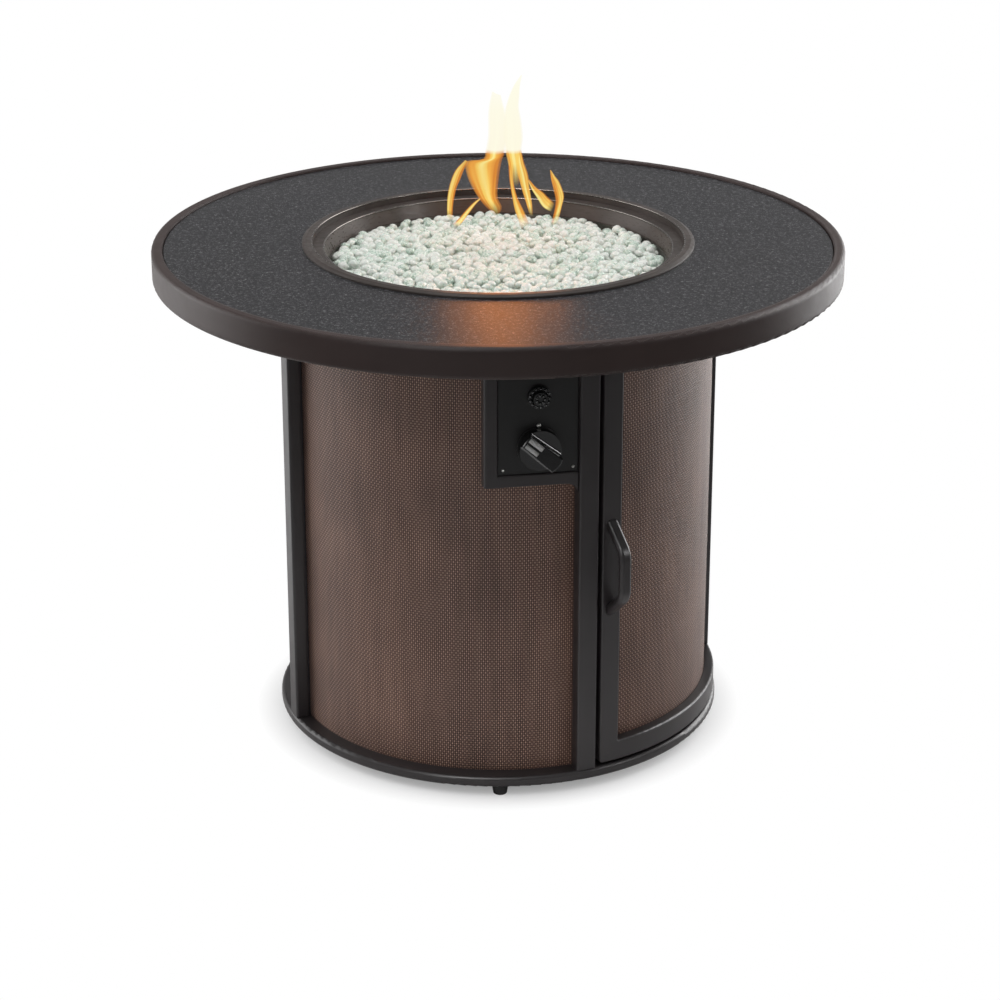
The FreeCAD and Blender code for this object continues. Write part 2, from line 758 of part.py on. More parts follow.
def make_gems():
    """Bed of glass gems round the burner, and the loose gems of its top layer."""
    gap = size.sheet_gap
    edge = pan_radius - size.pan_wall - gap
    edge_level = pan_floor + size.fill_depth_edge
    middle_level = edge_level + size.fill_crown
    low = pan_floor + size.bracket_height + gap
    bed = document.addObject("Part::Cylinder", "bed_low")
    bind(bed, "Radius", edge)
    bind(bed, "Height", edge_level - low)
    place(bed, 0, 0, low)
    crown = document.addObject("Part::Cone", "bed_crown")
    bind(crown, "Radius1", edge)
    bind(crown, "Radius2", edge / 2)
    bind(crown, "Height", middle_level - edge_level)
    place(crown, 0, 0, edge_level)
    tools = [burner_solid("bed_burner", gap)]
    hole = cylinder("bed_electrode", size.electrode_ceramic + gap,
                    size.electrode_above + size.electrode_tip + gap, 0, 0, pan_floor)
    electrode_place(hole)
    tools.append(hole)
    corner = ring("bed_corner", edge, size.pan_corner - size.pan_wall, low)
    tools.append(corner)
    bed = cut("bed", fuse("bed_full", [bed, crown]), fuse("bed_tools", tools))
    keep(bed, "gem_fill")

    radius = float(size.gem_radius)
    pitch = float(size.gem_pitch)
    slope = float(size.fill_crown) / (float(edge) / 2)
    reach = float(edge) - radius
    gems = [Part.makeSphere(radius, Vector(0, 0, float(middle_level) + radius))]
    ring_count = int(reach / pitch)
    for step in range(1, ring_count + 1):
        distance = step * reach / ring_count
        drop = max(0.0, distance - float(edge) / 2) * slope
        lift = radius * math.sqrt(1 + slope * slope) if drop > 0 else radius
        count = int(2 * math.pi * distance / pitch)
        for index in range(count):
            angle = 2 * math.pi * (index + 0.5 * (step % 2)) / count
            centre = Vector(distance * math.cos(angle), distance * math.sin(angle),
                            float(middle_level) - drop + lift)
            gems.append(Part.makeSphere(radius, centre))
    loose = document.addObject("Part::Feature", "gems_loose")
    loose.Shape = Part.makeCompound(gems)
    keep(loose, "loose_gems")


def make_underframe():
    """Ring on the posts and four arms that carry the top."""
    body = new_body("upper_ring")
    revolve(body, box_points(upper_ring_outer - size.upper_ring_width, upper_ring_outer,
                             ring_level, arm_bottom))
    screw_hole = size.screw_radius + size.screw_gap
    sketch = new_sketch(body, "XY_Plane", from_x(size.post_angle), arm_bottom)
    circle(sketch, screw_circle, 0, screw_hole)
    pattern(body, [pad(body, sketch, size.ring_plate, cut=True)], len(POSTS))
    sketch = new_sketch(body, "XY_Plane", from_x(pivot_angle), arm_bottom)
    circle(sketch, pivot_circle, 0, size.pivot_radius + size.running_gap)
    pad(body, sketch, size.ring_plate, cut=True)

    ledge = lip_radius - size.rim_ledge - size.panel_gap
    arm_outer = lip_radius - size.arm_short
    arm_inner = size.mesh_radius - size.arm_inset
    for index, name in enumerate(POSTS):
        body = new_body("support_arm_" + name)
        sketch = outline(new_sketch(body, "XZ_Plane"), [
            (arm_inner, arm_bottom),
            (arm_outer, arm_bottom),
            (arm_outer, panel_bottom - size.rim_wall),
            (ledge, panel_bottom - size.rim_wall),
            (ledge, panel_bottom),
            (arm_inner, panel_bottom),
        ])
        pad(body, sketch, size.arm_width, midplane=True)
        round_edges(body, size.sheet_round, lambda p: near(p.z, arm_bottom) and near(
            abs(p.y), size.arm_width / 2))
        hole = circle(new_sketch(body, "XY_Plane", None, panel_bottom), screw_circle, 0, screw_hole)
        pad(body, hole, size.arm_height, cut=True)
        sink = circle(new_sketch(body, "XY_Plane", None, panel_bottom), screw_circle, 0,
                      size.screw_head + size.screw_gap)
        pad(body, sink, size.screw_head_height + size.screw_gap, cut=True)
        place(body, turn=from_x(size.post_angle) + QUARTER * index)


def make_base():
    """Ring on four glides, with the plate and ring that locate the gas cylinder."""
    body = new_body("base_ring")
    revolve(body, box_points(base_plate_radius - size.base_ring_lap, base_ring_outer, base_low, base_top))
    round_edges(body, size.base_ring_round,
                lambda p: near(distance_out(p), base_ring_outer)
                and (near(p.z, base_low) or near(p.z, base_top)))
    screw_hole = size.screw_radius + size.screw_gap
    sink = size.screw_head_height + size.screw_gap
    for_posts = from_x(size.post_angle)
    hole = circle(new_sketch(body, "XY_Plane", for_posts, base_top), screw_circle, 0, screw_hole)
    hole_cut = pad(body, hole, size.base_ring_height, cut=True)
    head = circle(new_sketch(body, "XY_Plane", for_posts, base_low + sink), screw_circle, 0,
                  size.screw_head + size.screw_gap)
    head_cut = pad(body, head, sink, cut=True)
    pattern(body, [hole_cut, head_cut], len(POSTS))
    stem = circle(new_sketch(body, "XY_Plane", from_x(size.foot_angle),
                             base_low + size.foot_stem + size.screw_gap),
                  foot_circle, 0, size.foot_stem_radius + size.fit_gap)
    pattern(body, [pad(body, stem, size.foot_stem + size.screw_gap, cut=True)], len(POSTS))
    pin = circle(new_sketch(body, "XY_Plane", from_x(pivot_angle), base_top),
                 pivot_circle, 0, size.pivot_radius + size.running_gap)
    pad(body, pin, size.pivot_sink, cut=True)

    body = new_body("base_plate")
    revolve(body, box_points(size.base_plate_hole, base_plate_radius, base_top, plate_top))
    vent = circle(new_sketch(body, "XY_Plane", None, plate_top), size.vent_circle, 0,
                  size.vent_radius)
    pattern(body, [pad(body, vent, size.base_plate_thickness, cut=True)], size.vents)

    inner = size.tank_ring_radius
    outer = inner + size.tank_ring_wall
    flange = plate_top + size.base_plate_thickness
    body = new_body("tank_ring")
    revolve(body, [
        (inner, plate_top),
        (outer + size.tank_ring_flange, plate_top),
        (outer + size.tank_ring_flange, flange),
        (outer, flange),
        (outer, plate_top + size.tank_ring_height),
        (inner, plate_top + size.tank_ring_height),
    ])

    for index, name in enumerate(("front", "right", "back", "left")):
        body = new_body("foot_" + name)
        revolve(body, [
            (0, 0),
            (size.foot_low_radius, 0),
            (size.foot_top_radius, base_low),
            (size.foot_stem_radius, base_low),
            (size.foot_stem_radius, base_low + size.foot_stem),
            (0, base_low + size.foot_stem),
        ])
        round_edges(body, size.small_round, lambda p: near(p.z, 0))
        angle = size.foot_angle + QUARTER * index
        place(body, compass_x(foot_circle, angle), compass_y(foot_circle, angle))


def make_posts():
    """Four upright posts, with clamp strips behind the mesh."""
    back = post_face - size.post_depth
    for index, name in enumerate(POSTS):
        body = new_body("post_" + name)
        sketch = outline(new_sketch(body, "XZ_Plane"),
                         box_points(back, post_face, base_top, ring_level))
        pad(body, sketch, size.post_width, midplane=True)
        sketch = outline(new_sketch(body, "XZ_Plane"),
                         box_points(size.mesh_radius + size.sheet_gap, back, base_top, ring_level))
        pad(body, sketch, size.post_tongue, midplane=True)
        round_edges(body, size.post_round, lambda p: near(p.x, post_face) and near(
            abs(p.y), size.post_width / 2))
        hole = circle(new_sketch(body, "XY_Plane", None, ring_level), screw_circle, 0,
                      size.screw_radius + size.screw_gap)
        pad(body, hole, size.screw_bite + size.past, cut=True)
        hole = circle(new_sketch(body, "XY_Plane", None, base_top + size.screw_bite + size.past),
                      screw_circle, 0, size.screw_radius + size.screw_gap)
        pad(body, hole, size.screw_bite + size.past, cut=True)
        place(body, turn=from_x(size.post_angle) + QUARTER * index)

    front = hoop_outer - size.slip_gap
    body = new_body("clamp_strips")
    sketch = outline(new_sketch(body, "XZ_Plane"), box_points(
        front - size.strip_thickness, front,
        base_top + size.lower_hoop_height, ring_level - size.upper_hoop_height))
    strip = pad(body, sketch, size.post_width, midplane=True)
    pattern(body, [strip], len(POSTS))
    place(body, turn=from_x(size.post_angle))


def make_mesh():
    """Three fixed mesh panels between the posts and the two hoops that hold their hems."""
    hinge_post = size.post_angle + QUARTER
    lap = arc_angle(size.post_width / 2, size.mesh_radius)
    sweep = 3 * QUARTER + lap * 2
    for name, low, high in (
            ("lower_hoop", base_top, base_top + size.lower_hoop_height),
            ("upper_hoop", ring_level - size.upper_hoop_height, ring_level)):
        body = new_body(name)
        revolve(body, box_points(hoop_inner, hoop_outer, low, high), hinge_post - lap, sweep)

    low = base_top + size.sheet_gap
    high = ring_level - size.sheet_gap
    section = box_points(mesh_inner, size.mesh_radius, low, high)
    for index, name in ((1, "mesh_rear_right"), (2, "mesh_rear_left"), (3, "mesh_front")):
        body = new_body(name)
        start = size.post_angle + QUARTER * index + size.mesh_edge_angle
        revolve(body, section, start, QUARTER - size.mesh_edge_angle * 2)
    notch_low = top - size.box_drop + size.box_low_member / 2
    notch_width = arc_angle(size.box_left - size.box_member / 2, size.mesh_radius) + size.post_angle
    revolve(body, box_points(mesh_inner - size.past, size.mesh_radius + size.past,
                             notch_low, high + size.past),
            size.post_angle - notch_width, notch_width, cut=True)


# Angles of the door and its pivot
door_edge = arc_angle(size.post_width / 2 + size.door_gap, door_outer)
door_start = size.post_angle + door_edge
door_sweep = QUARTER - door_edge * 2
stile_angle = arc_angle(size.door_stile, door_outer)
lap_angle = arc_angle(size.door_mesh_lap, door_outer)
door_middle = size.post_angle + QUARTER / 2
door_low = base_top + size.door_gap_low
door_high = ring_level - size.door_gap_top
pivot_angle = door_start + door_sweep - arc_angle(size.pivot_edge, pivot_circle)
handle_angle = door_start + stile_angle / 2


def door_window(body, inner, outer):
    """Opens the middle of a curved door panel."""
    revolve(body, box_points(inner, outer, door_low + size.door_rail, door_high - size.door_rail),
            door_start + stile_angle, door_sweep - stile_angle * 2, cut=True)


def make_door():
    """Curved frame with mesh behind it, turning on two pins."""
    frame = new_body("door_frame")
    revolve(frame, box_points(door_inner, door_outer, door_low, door_high),
            door_start, door_sweep)
    door_window(frame, door_inner - size.past, door_outer + size.past)
    corner_edge = float(arc_angle(size.door_corner, door_outer))
    round_edges(frame, size.door_corner, lambda p: (near(p.z, door_low) or near(p.z, door_high))
                and abs(compass_of(p) - float(door_middle)) > float(door_sweep) / 2 - corner_edge / 8)
    round_edges(frame, size.door_round, lambda p: near(distance_out(p), door_outer))
    bore = size.pivot_radius + size.running_gap
    for level in (door_high, door_low + size.pivot_reach + size.past):
        sketch = circle(new_sketch(frame, "XY_Plane", from_x(pivot_angle), level),
                        pivot_circle, 0, bore)
        pad(frame, sketch, size.pivot_reach + size.past, cut=True)
    for level in handle_screw_levels():
        for radius, reach in ((size.handle_screw_radius + size.screw_gap, door_outer + size.past),
                              (size.handle_screw_head + size.screw_gap,
                               door_inner + size.handle_screw_sink)):
            sketch = circle(new_sketch(frame, "YZ_Plane", from_x(handle_angle)), 0, level, radius)
            pad(frame, sketch, reach, backwards=True, cut=True)

    mesh_outer = door_inner - size.sheet_gap
    mesh_back = mesh_outer - size.mesh_thickness
    lap = size.door_mesh_lap
    start = door_start + stile_angle - lap_angle
    sweep = door_sweep - stile_angle * 2 + lap_angle * 2
    low = door_low + size.door_rail - lap
    high = door_high - size.door_rail + lap
    mesh = new_body("door_mesh")
    revolve(mesh, box_points(mesh_back, mesh_outer, low, high), start, sweep)

    retainer_front = mesh_back - size.slip_gap
    retainer_back = retainer_front - size.retainer_thickness
    retainer = new_body("door_retainer")
    revolve(retainer, box_points(retainer_back, retainer_front, low, high), start, sweep)
    door_window(retainer, retainer_back - size.past, retainer_front + size.past)

    header_outer = retainer_back - size.sheet_gap
    header_inner = header_outer - size.header_wall
    header = new_body("door_header")
    revolve(header, box_points(header_inner, header_outer,
                               ring_level - size.header_height, ring_level),
            door_start, door_sweep)

    strike_front = header_outer - size.slip_gap
    strike_back = strike_front - size.strike_thickness
    strike = new_body("catch_strike")
    sketch = outline(new_sketch(strike, "XZ_Plane"),
                     box_points(strike_back, strike_front, high - size.strike_height, high))
    pad(strike, sketch, size.strike_width, midplane=True)
    place(strike, turn=from_x(size.catch_angle))
    magnet_front = strike_back - size.sheet_gap
    magnet_top = ring_level - size.header_height
    magnet = new_body("catch_magnet")
    sketch = outline(new_sketch(magnet, "XZ_Plane"),
                     box_points(magnet_front - size.catch_depth, magnet_front,
                                magnet_top - size.catch_height, magnet_top))
    pad(magnet, sketch, size.catch_width, midplane=True)
    place(magnet, turn=from_x(size.catch_angle))


def handle_screw_levels():
    """Heights of the two handle screws."""
    offset = size.handle_length / 2 - size.handle_screw_inset
    return size.handle_height - offset, size.handle_height + offset


def make_handle():
    """Bow handle with wide bends and the two screws that hold it from inside."""
    foot = door_outer + size.slip_gap
    outer = door_outer + size.handle_reach
    inner = outer - size.handle_bar
    middle = size.handle_height
    half = size.handle_length / 2
    grip = size.handle_grip / 2
    inside = half - size.handle_foot
    inner_grip = grip - size.handle_bar / 2
    body = new_body("door_handle")
    sketch = outline(new_sketch(body, "XZ_Plane"), [
        (foot, middle - half),
        (outer, middle - grip),
        (outer, middle + grip),
        (foot, middle + half),
        (foot, middle + inside),
        (inner, middle + inner_grip),
        (inner, middle - inner_grip),
        (foot, middle - inside),
    ])
    pad(body, sketch, size.handle_width, midplane=True)
    round_edges(body, size.handle_bend, lambda p: near(p.x, outer) and near(
        abs(p.z - float(middle)), grip))
    round_edges(body, size.handle_bend - size.handle_bar, lambda p: near(p.x, inner) and near(
        abs(p.z - float(middle)), inner_grip))
    round_edges(body, size.handle_round, lambda p: near(abs(p.y), size.handle_width / 2)
                and not near(p.x, foot))
    levels = handle_screw_levels()
    for level in levels:
        sketch = circle(new_sketch(body, "YZ_Plane"), 0, level,
                        size.handle_screw_radius + size.fit_gap)
        pad(body, sketch, foot + size.handle_screw_bite + size.past, backwards=True, cut=True)
    place(body, turn=from_x(handle_angle))

    head_low = door_inner + size.screw_gap
    head_high = door_inner + size.handle_screw_sink
    screws = new_body("handle_screws")
    for level in levels:
        sketch = circle(new_sketch(screws, "YZ_Plane", None, head_low), 0, level,
                        size.handle_screw_head)
        pad(screws, sketch, head_high - head_low)
        sketch = circle(new_sketch(screws, "YZ_Plane", None, head_high), 0, level,
                        size.handle_screw_radius)
        pad(screws, sketch, foot + size.handle_screw_bite - head_high)
    place(screws, turn=from_x(handle_angle))


def make_pivots():
    """Two pins on the door's axis: a shouldered one below and a headed one above."""
    pin = size.pivot_radius
    floor = base_top + size.door_gap_low - size.fit_gap
    head = arm_bottom + size.pivot_head
    body = new_body("hinge_pins")
    revolve(body, [
        (0, base_top - size.pivot_sink),
        (pin, base_top - size.pivot_sink),
        (pin, base_top),
        (size.pivot_shoulder, base_top),
        (size.pivot_shoulder, floor),
        (pin, floor),
        (pin, door_low + size.pivot_reach),
        (0, door_low + size.pivot_reach),
    ])
    revolve(body, [
        (0, door_high - size.pivot_reach),
        (pin, door_high - size.pivot_reach),
        (pin, arm_bottom),
        (size.pivot_shoulder, arm_bottom),
        (size.pivot_shoulder, head),
        (0, head),
    ])
    place(body, compass_x(pivot_circle, pivot_angle),
          compass_y(pivot_circle, pivot_angle))


def make_frame_screws():
    """Screws from below into the posts and from the arms down into the posts."""
    shank = size.screw_radius
    sink = size.screw_head_height
    x = screw_circle
    body = new_body("frame_screws")
    features = []
    for head_low, shank_low, shank_high in (
            (base_low + size.screw_gap, base_low + sink + size.screw_gap,
             base_top + size.screw_bite),
            (panel_bottom - sink, ring_level - size.screw_bite, panel_bottom - sink)):
        head = circle(new_sketch(body, "XY_Plane", None, head_low), x, 0, size.screw_head)
        features.append(pad(body, head, sink))
        rod = circle(new_sketch(body, "XY_Plane", None, shank_low), x, 0, shank)
        features.append(pad(body, rod, shank_high - shank_low))
    pattern(body, features, len(POSTS))
    place(body, turn=from_x(size.post_angle))


# Levels of the control box, and its distances in front of the centre
box_low = top - size.box_drop
window_low = box_low + size.box_low_member
window_high = ring_level - size.sheet_gap - size.box_top_member
plate_front = box_face - size.plate_recess
plate_back = plate_front - size.plate_thickness
knob_level = top - size.knob_drop
igniter_level = top - size.igniter_drop
knob_back = plate_front + size.knob_bezel_height + size.knob_gap


def front_sketch(body, depth):
    """A sketch that faces -Y at a distance in front of the centre."""
    return new_sketch(body, "XZ_Plane", None, depth)


def clear_of_post(body, gap, low, high):
    """Cuts a control part back from the post beside it."""
    sketch = outline(new_sketch(body, "XY_Plane", size.post_angle, high + size.past), box_points(
        -(size.post_width / 2 + gap), size.post_width * 3,
        -(post_face + size.post_width), -(mesh_inner - size.post_depth)))
    pad(body, sketch, high - low + size.past * 2, cut=True)


def post_side_at(distance):
    """The near side of the control post where it crosses a plane in front of the centre."""
    half = size.post_width / 2 + size.plate_gap
    reach = (distance - half * sine(size.post_angle)) / cosine(size.post_angle)
    return reach * sine(size.post_angle) - half * cosine(size.post_angle)


def make_control_box():
    """Frame beside the post and the plate inside it."""
    high = ring_level - size.sheet_gap
    depth = box_face - mesh_inner + size.post_depth
    body = new_body("control_frame")
    post_side = post_side_at(box_face)
    right = post_side + size.post_width
    sketch = outline(front_sketch(body, box_face - depth),
                     box_points(-size.box_left, right, box_low, high))
    pad(body, sketch, depth)
    window = outline(front_sketch(body, box_face), box_points(
        size.box_member - size.box_left, right + size.past, window_low, window_high))
    pad(body, window, depth, cut=True)
    web = size.box_web
    sketch = outline(front_sketch(body, box_face - depth),
                     box_points(post_side - web, right, box_low - web, box_low))
    pad(body, sketch, depth)
    hollow = circle(front_sketch(body, box_face), post_side - web, box_low - web, web)
    pad(body, hollow, depth, cut=True)
    clear_of_post(body, size.plate_gap, box_low - web, high)
    revolve(body, box_points(0, size.mesh_radius + size.sheet_gap,
                             box_low - web - size.past, high + size.past), cut=True)
    round_edges(body, size.box_round, lambda p: near(p.x, -size.box_left) and near(
        p.y, -box_face))
    round_edges(body, size.sheet_round, lambda p: near(p.y, -box_face) and (
        near(p.z, window_low) or near(p.x, size.box_member - size.box_left)))

    gap = size.plate_gap
    left = size.box_member - size.box_left + gap
    low = window_low + gap
    plate_high = window_high - gap
    body = new_body("control_plate")
    sketch = outline(front_sketch(body, plate_back), box_points(left, right, low, plate_high))
    pad(body, sketch, size.plate_thickness)
    clear_of_post(body, gap, low, plate_high)
    for edges in (box_points(left, left + size.plate_thickness, low, plate_high),
                  box_points(left, post_side - size.plate_flange_short, low,
                             low + size.plate_thickness)):
        flange = outline(front_sketch(body, plate_back - size.plate_flange), edges)
        pad(body, flange, size.plate_flange)
    holes = front_sketch(body, plate_front)
    circle(holes, 0, igniter_level, size.igniter_radius + size.screw_gap)
    circle(holes, 0, knob_level, size.stem_hole_radius)
    for side in (-1, 1):
        circle(holes, 0, knob_level + side * size.valve_screw_offset,
               size.valve_screw_radius + size.screw_gap)
    pad(body, holes, size.plate_thickness, cut=True)


def round_front(body, radius, low, high, x=0, level=None):
    """A round boss along Y between two distances in front of the centre."""
    sketch = circle(front_sketch(body, low), x, level, radius)
    return pad(body, sketch, high - low)


def bore_front(body, radius, low, high, level):
    """A round hole along Y, made from the front."""
    sketch = circle(front_sketch(body, high), 0, level, radius)
    return pad(body, sketch, high - low, cut=True)


def hexagon(sketch, level, radius):
    """A hexagon about the sketch's upright, by the distance to its flats."""
    corner = radius / math.cos(math.pi / 6)
    points = []
    for index in range(6):
        angle = math.pi / 3 * index
        across = corner * round(math.cos(angle), 12)
        up = corner * round(math.sin(angle), 12)
        points.append((across, level + up))
    return outline(sketch, points)


def make_igniter():
    """Push-button spark igniter held in the plate by a nut."""
    level = igniter_level
    front = plate_front + size.igniter_front
    ring_front = plate_front + size.igniter_bezel_height
    bore = size.igniter_button_radius + size.fit_gap
    button_front = ring_front + size.igniter_button_proud
    button_back = button_front - size.igniter_button_length
    socket = button_back - size.igniter_travel - size.igniter_room
    body = new_body("igniter_body")
    round_front(body, size.igniter_radius, front - size.igniter_length, front, 0, level)
    bore_front(body, bore, socket, front, level)

    body = new_body("igniter_bezel")
    round_front(body, size.igniter_bezel_radius, plate_front, ring_front, 0, level)
    bore_front(body, size.igniter_radius + size.fit_gap, plate_front, front + size.slip_gap, level)
    bore_front(body, bore + size.slip_gap, front, ring_front, level)
    round_edges(body, size.small_round, lambda p: near(p.y, -ring_front))

    body = new_body("igniter_nut")
    sketch = hexagon(front_sketch(body, plate_back - size.igniter_nut_height), level,
                     size.igniter_nut_radius)
    pad(body, sketch, size.igniter_nut_height)
    bore_front(body, size.igniter_radius + size.fit_gap,
               plate_back - size.igniter_nut_height, plate_back, level)

    body = new_body("igniter_button")
    round_front(body, size.igniter_button_radius, button_back, button_front, 0, level)
    round_edges(body, size.small_round, lambda p: near(p.y, -button_front))


def make_valve():
    """Gas valve behind the plate: body, turning plug, stem, screws and inlet fitting."""
    level = knob_level
    flange_front = plate_back
    flange_back = flange_front - size.valve_flange
    neck_back = flange_back - size.valve_neck
    block_back = neck_back - size.valve_block_depth
    half = size.valve_block / 2
    plug_front = neck_back
    plug_back = plug_front - size.valve_plug_length
    body = new_body("gas_valve")
    sketch = outline(front_sketch(body, flange_back), box_points(
        -(size.valve_flange_width / 2), size.valve_flange_width / 2,
        level - size.valve_flange_height / 2, level + size.valve_flange_height / 2))
    pad(body, sketch, size.valve_flange)
    round_front(body, size.valve_neck_radius, neck_back, flange_back, 0, level)
    sketch = outline(front_sketch(body, block_back), box_points(-half, half, level - half,
                                                               level + half))
    pad(body, sketch, size.valve_block_depth)
    bore_front(body, size.valve_plug_radius + size.running_gap, plug_back - size.running_gap,
               flange_front, level)
    for side in (-1, 1):
        bore_front(body, size.valve_screw_radius + size.fit_gap, flange_back, flange_front,
                   level + side * size.valve_screw_offset)

    body = new_body("valve_plug")
    round_front(body, size.valve_plug_radius, plug_back, plug_front, 0, level)
    stem_bottom = plug_front - size.stem_in_plug
    bore_front(body, size.stem_radius + size.running_gap, stem_bottom, plug_front, level)

    stem_back = stem_bottom + size.knob_travel + size.sheet_gap
    stem_front = knob_back + size.stem_in_knob
    collar_back = flange_back - size.valve_flange
    body = new_body("valve_stem")
    round_front(body, size.stem_radius, stem_back, stem_front, 0, level)
    round_front(body, size.stem_collar_radius, collar_back,
                collar_back + size.stem_collar_height, 0, level)

    body = new_body("valve_screws")
    for side in (-1, 1):
        screw_level = level + side * size.valve_screw_offset
        round_front(body, size.valve_screw_radius, flange_back, plate_front, 0, screw_level)
        round_front(body, size.valve_screw_head, plate_front,
                    plate_front + size.valve_screw_proud, 0, screw_level)

    body = new_body("gas_inlet")
    inlet_top = level - half
    hex_low = inlet_top - size.inlet_hex_height
    middle = (neck_back + block_back) / 2
    sketch = new_sketch(body, "XY_Plane", None, hex_low)
    hexagon(sketch, 0, size.inlet_hex)
    pad(body, sketch, size.inlet_hex_height)
    sketch = circle(new_sketch(body, "XY_Plane", None, hex_low - size.inlet_thread), 0, 0,
                    size.inlet_thread_radius)
    pad(body, sketch, size.inlet_thread)
    sketch = circle(new_sketch(body, "XY_Plane", None, inlet_top), 0, 0, size.gas_bore)
    pad(body, sketch, size.inlet_hex_height + size.inlet_thread, cut=True)
    place(body, 0, -middle)


def make_knob():
    """Control knob, a disc with a sloping grip across it, and the plain disc behind it."""
    skirt_front = knob_back + size.knob_skirt
    front = skirt_front + size.knob_grip_high
    edge = size.knob_radius + size.past
    body = new_body("control_knob")
    round_front(body, size.knob_radius, knob_back, front, 0, 0)
    for side in (-1, 1):
        beside = outline(front_sketch(body, front), [
            (-edge, side * size.knob_grip_narrow / 2),
            (edge, side * size.knob_grip_wide / 2),
            (edge, side * edge),
            (-edge, side * edge),
        ])
        pad(body, beside, size.knob_grip_high, cut=True)
    round_edges(body, size.knob_scoop, lambda p: near(p.y, -skirt_front)
                and abs(p.z) < float(size.knob_grip_wide) / 2)
    slope = outline(new_sketch(body, "XY_Plane", None, edge), [
        (-edge, -(skirt_front + size.knob_grip_low)),
        (edge, -front),
        (edge, -(front + size.past)),
        (-edge, -(front + size.past)),
    ])
    pad(body, slope, edge * 2, cut=True)
    grip_low = float(skirt_front + size.knob_grip_low) - SLACK
    round_edges(body, size.knob_round, lambda p: -p.y > grip_low)
    bore_front(body, size.stem_radius + size.running_gap, knob_back,
               knob_back + size.stem_in_knob + size.slip_gap, 0)
    body.Placement = Placement(Vector(), Rotation(Vector(0, 1, 0), float(size.knob_turn)))
    bind(body, "Placement.Rotation.Angle", size.knob_turn)
    place(body, z=knob_level)

    body = new_body("knob_bezel")
    level = knob_level
    round_front(body, size.knob_bezel_radius, plate_front,
                plate_front + size.knob_bezel_height, 0, level)
    bore_front(body, size.stem_hole_radius, plate_front,
               plate_front + size.knob_bezel_height, level)
    for side in (-1, 1):
        bore_front(body, size.valve_screw_head + size.screw_gap, plate_front,
                   plate_front + size.knob_bezel_height,
                   level + side * size.valve_screw_offset)


def bent_pipe(points, radius):
    """A round bar along straight runs joined by the widest tangent arcs that fit."""
    edges = []
    start = points[0]
    for index in range(1, len(points) - 1):
        before = points[index] - points[index - 1]
        after = points[index + 1] - points[index]
        turn = before.getAngle(after)
        setback = BEND_SHARE * min(before.Length, after.Length)
        bend = setback / math.tan(turn / 2)
        entry = points[index] - before.normalize() * setback
        leave = points[index] + after.normalize() * setback
        inward = (points[index] - (entry + leave) * 0.5).normalize()
        centre_distance = bend / math.cos(turn / 2)
        middle = points[index] - inward * (centre_distance - bend)
        edges.append(Part.makeLine(start, entry))
        edges.append(Part.Arc(entry, middle, leave).toShape())
        start = leave
        print("bend radius %.1f mm" % bend)
    edges.append(Part.makeLine(start, points[-1]))
    spine = Part.Wire(edges)
    section = Part.Wire(Part.makeCircle(radius, points[0], points[1] - points[0]))
    shape = spine.makePipeShell([section], True, False)
    expected = math.pi * radius * radius * spine.Length
    print("pipe length %.1f mm, volume over section times length %.4f" % (
        spine.Length, shape.Volume / expected))
    return shape


def make_pipes():
    """Gas tube from the valve to the mixer and the lead from igniter to electrode."""
    neck_back = plate_back - size.valve_flange - size.valve_neck
    valve_back = float(neck_back - size.valve_block_depth)
    mixer_level = float(pan_low - size.nipple_drop - size.mixer_elbow_height / 2)
    valve_level = float(knob_level)
    mixer_end = float(size.mixer_length)
    route = [
        Vector(0, -valve_back, valve_level),
        Vector(0, -valve_back + float(size.gas_tube_level), valve_level),
        Vector(0, -mixer_end - float(size.gas_tube_level), mixer_level),
        Vector(0, -mixer_end, mixer_level),
    ]
    pipe = document.addObject("Part::Feature", "pipe_gas")
    pipe.Shape = bent_pipe(route, float(size.gas_tube_radius))
    keep(pipe, "gas_tube")

    start = float(plate_front + size.igniter_front - size.igniter_length)
    level = float(igniter_level)
    end_x = float(compass_x(size.electrode_radius, size.electrode_angle))
    end_y = float(compass_y(size.electrode_radius, size.electrode_angle))
    end_z = float(pan_floor - size.electrode_below)
    route = [Vector(0, -start, level)]
    route += [Vector(across, inward - start, level + up) for across, inward, up in LEAD_BENDS]
    route += [
        Vector(end_x, end_y, end_z - float(size.lead_rise)),
        Vector(end_x, end_y, end_z),
    ]
    lead = document.addObject("Part::Feature", "lead_igniter")
    lead.Shape = bent_pipe(route, float(size.lead_radius))
    keep(lead, "igniter_lead")


def check_and_write():
    """Stops on any failed object or bad shape, then writes one file per sub-part."""
    document.recompute()
    for item in document.Objects:
        if "Invalid" in item.State or "Error" in item.State:
            raise RuntimeError("%s failed: %s" % (item.Label, item.State))
    os.makedirs("parts", exist_ok=True)
    for item in sub_parts:
        shape = item.Shape
        if shape.isNull() or not shape.isValid() or not shape.Solids:
            raise RuntimeError("%s has no valid solid" % item.Label)
    for item in sub_parts:
        item.Shape.exportStep(os.path.join("parts", item.Label + ".step"))
    print("%d sub-parts written" % len(sub_parts))


make_top()
make_collar()
make_pan()
make_burner()
make_electrode()
make_gems()
make_underframe()
make_base()
make_posts()
make_mesh()
make_door()
make_handle()
make_pivots()
make_frame_screws()
make_control_box()
make_igniter()
make_valve()
make_knob()
make_pipes()
check_and_write()
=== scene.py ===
import json
import math
import random

import bmesh
import bpy
import numpy as np
from mathutils import Matrix, Vector, noise


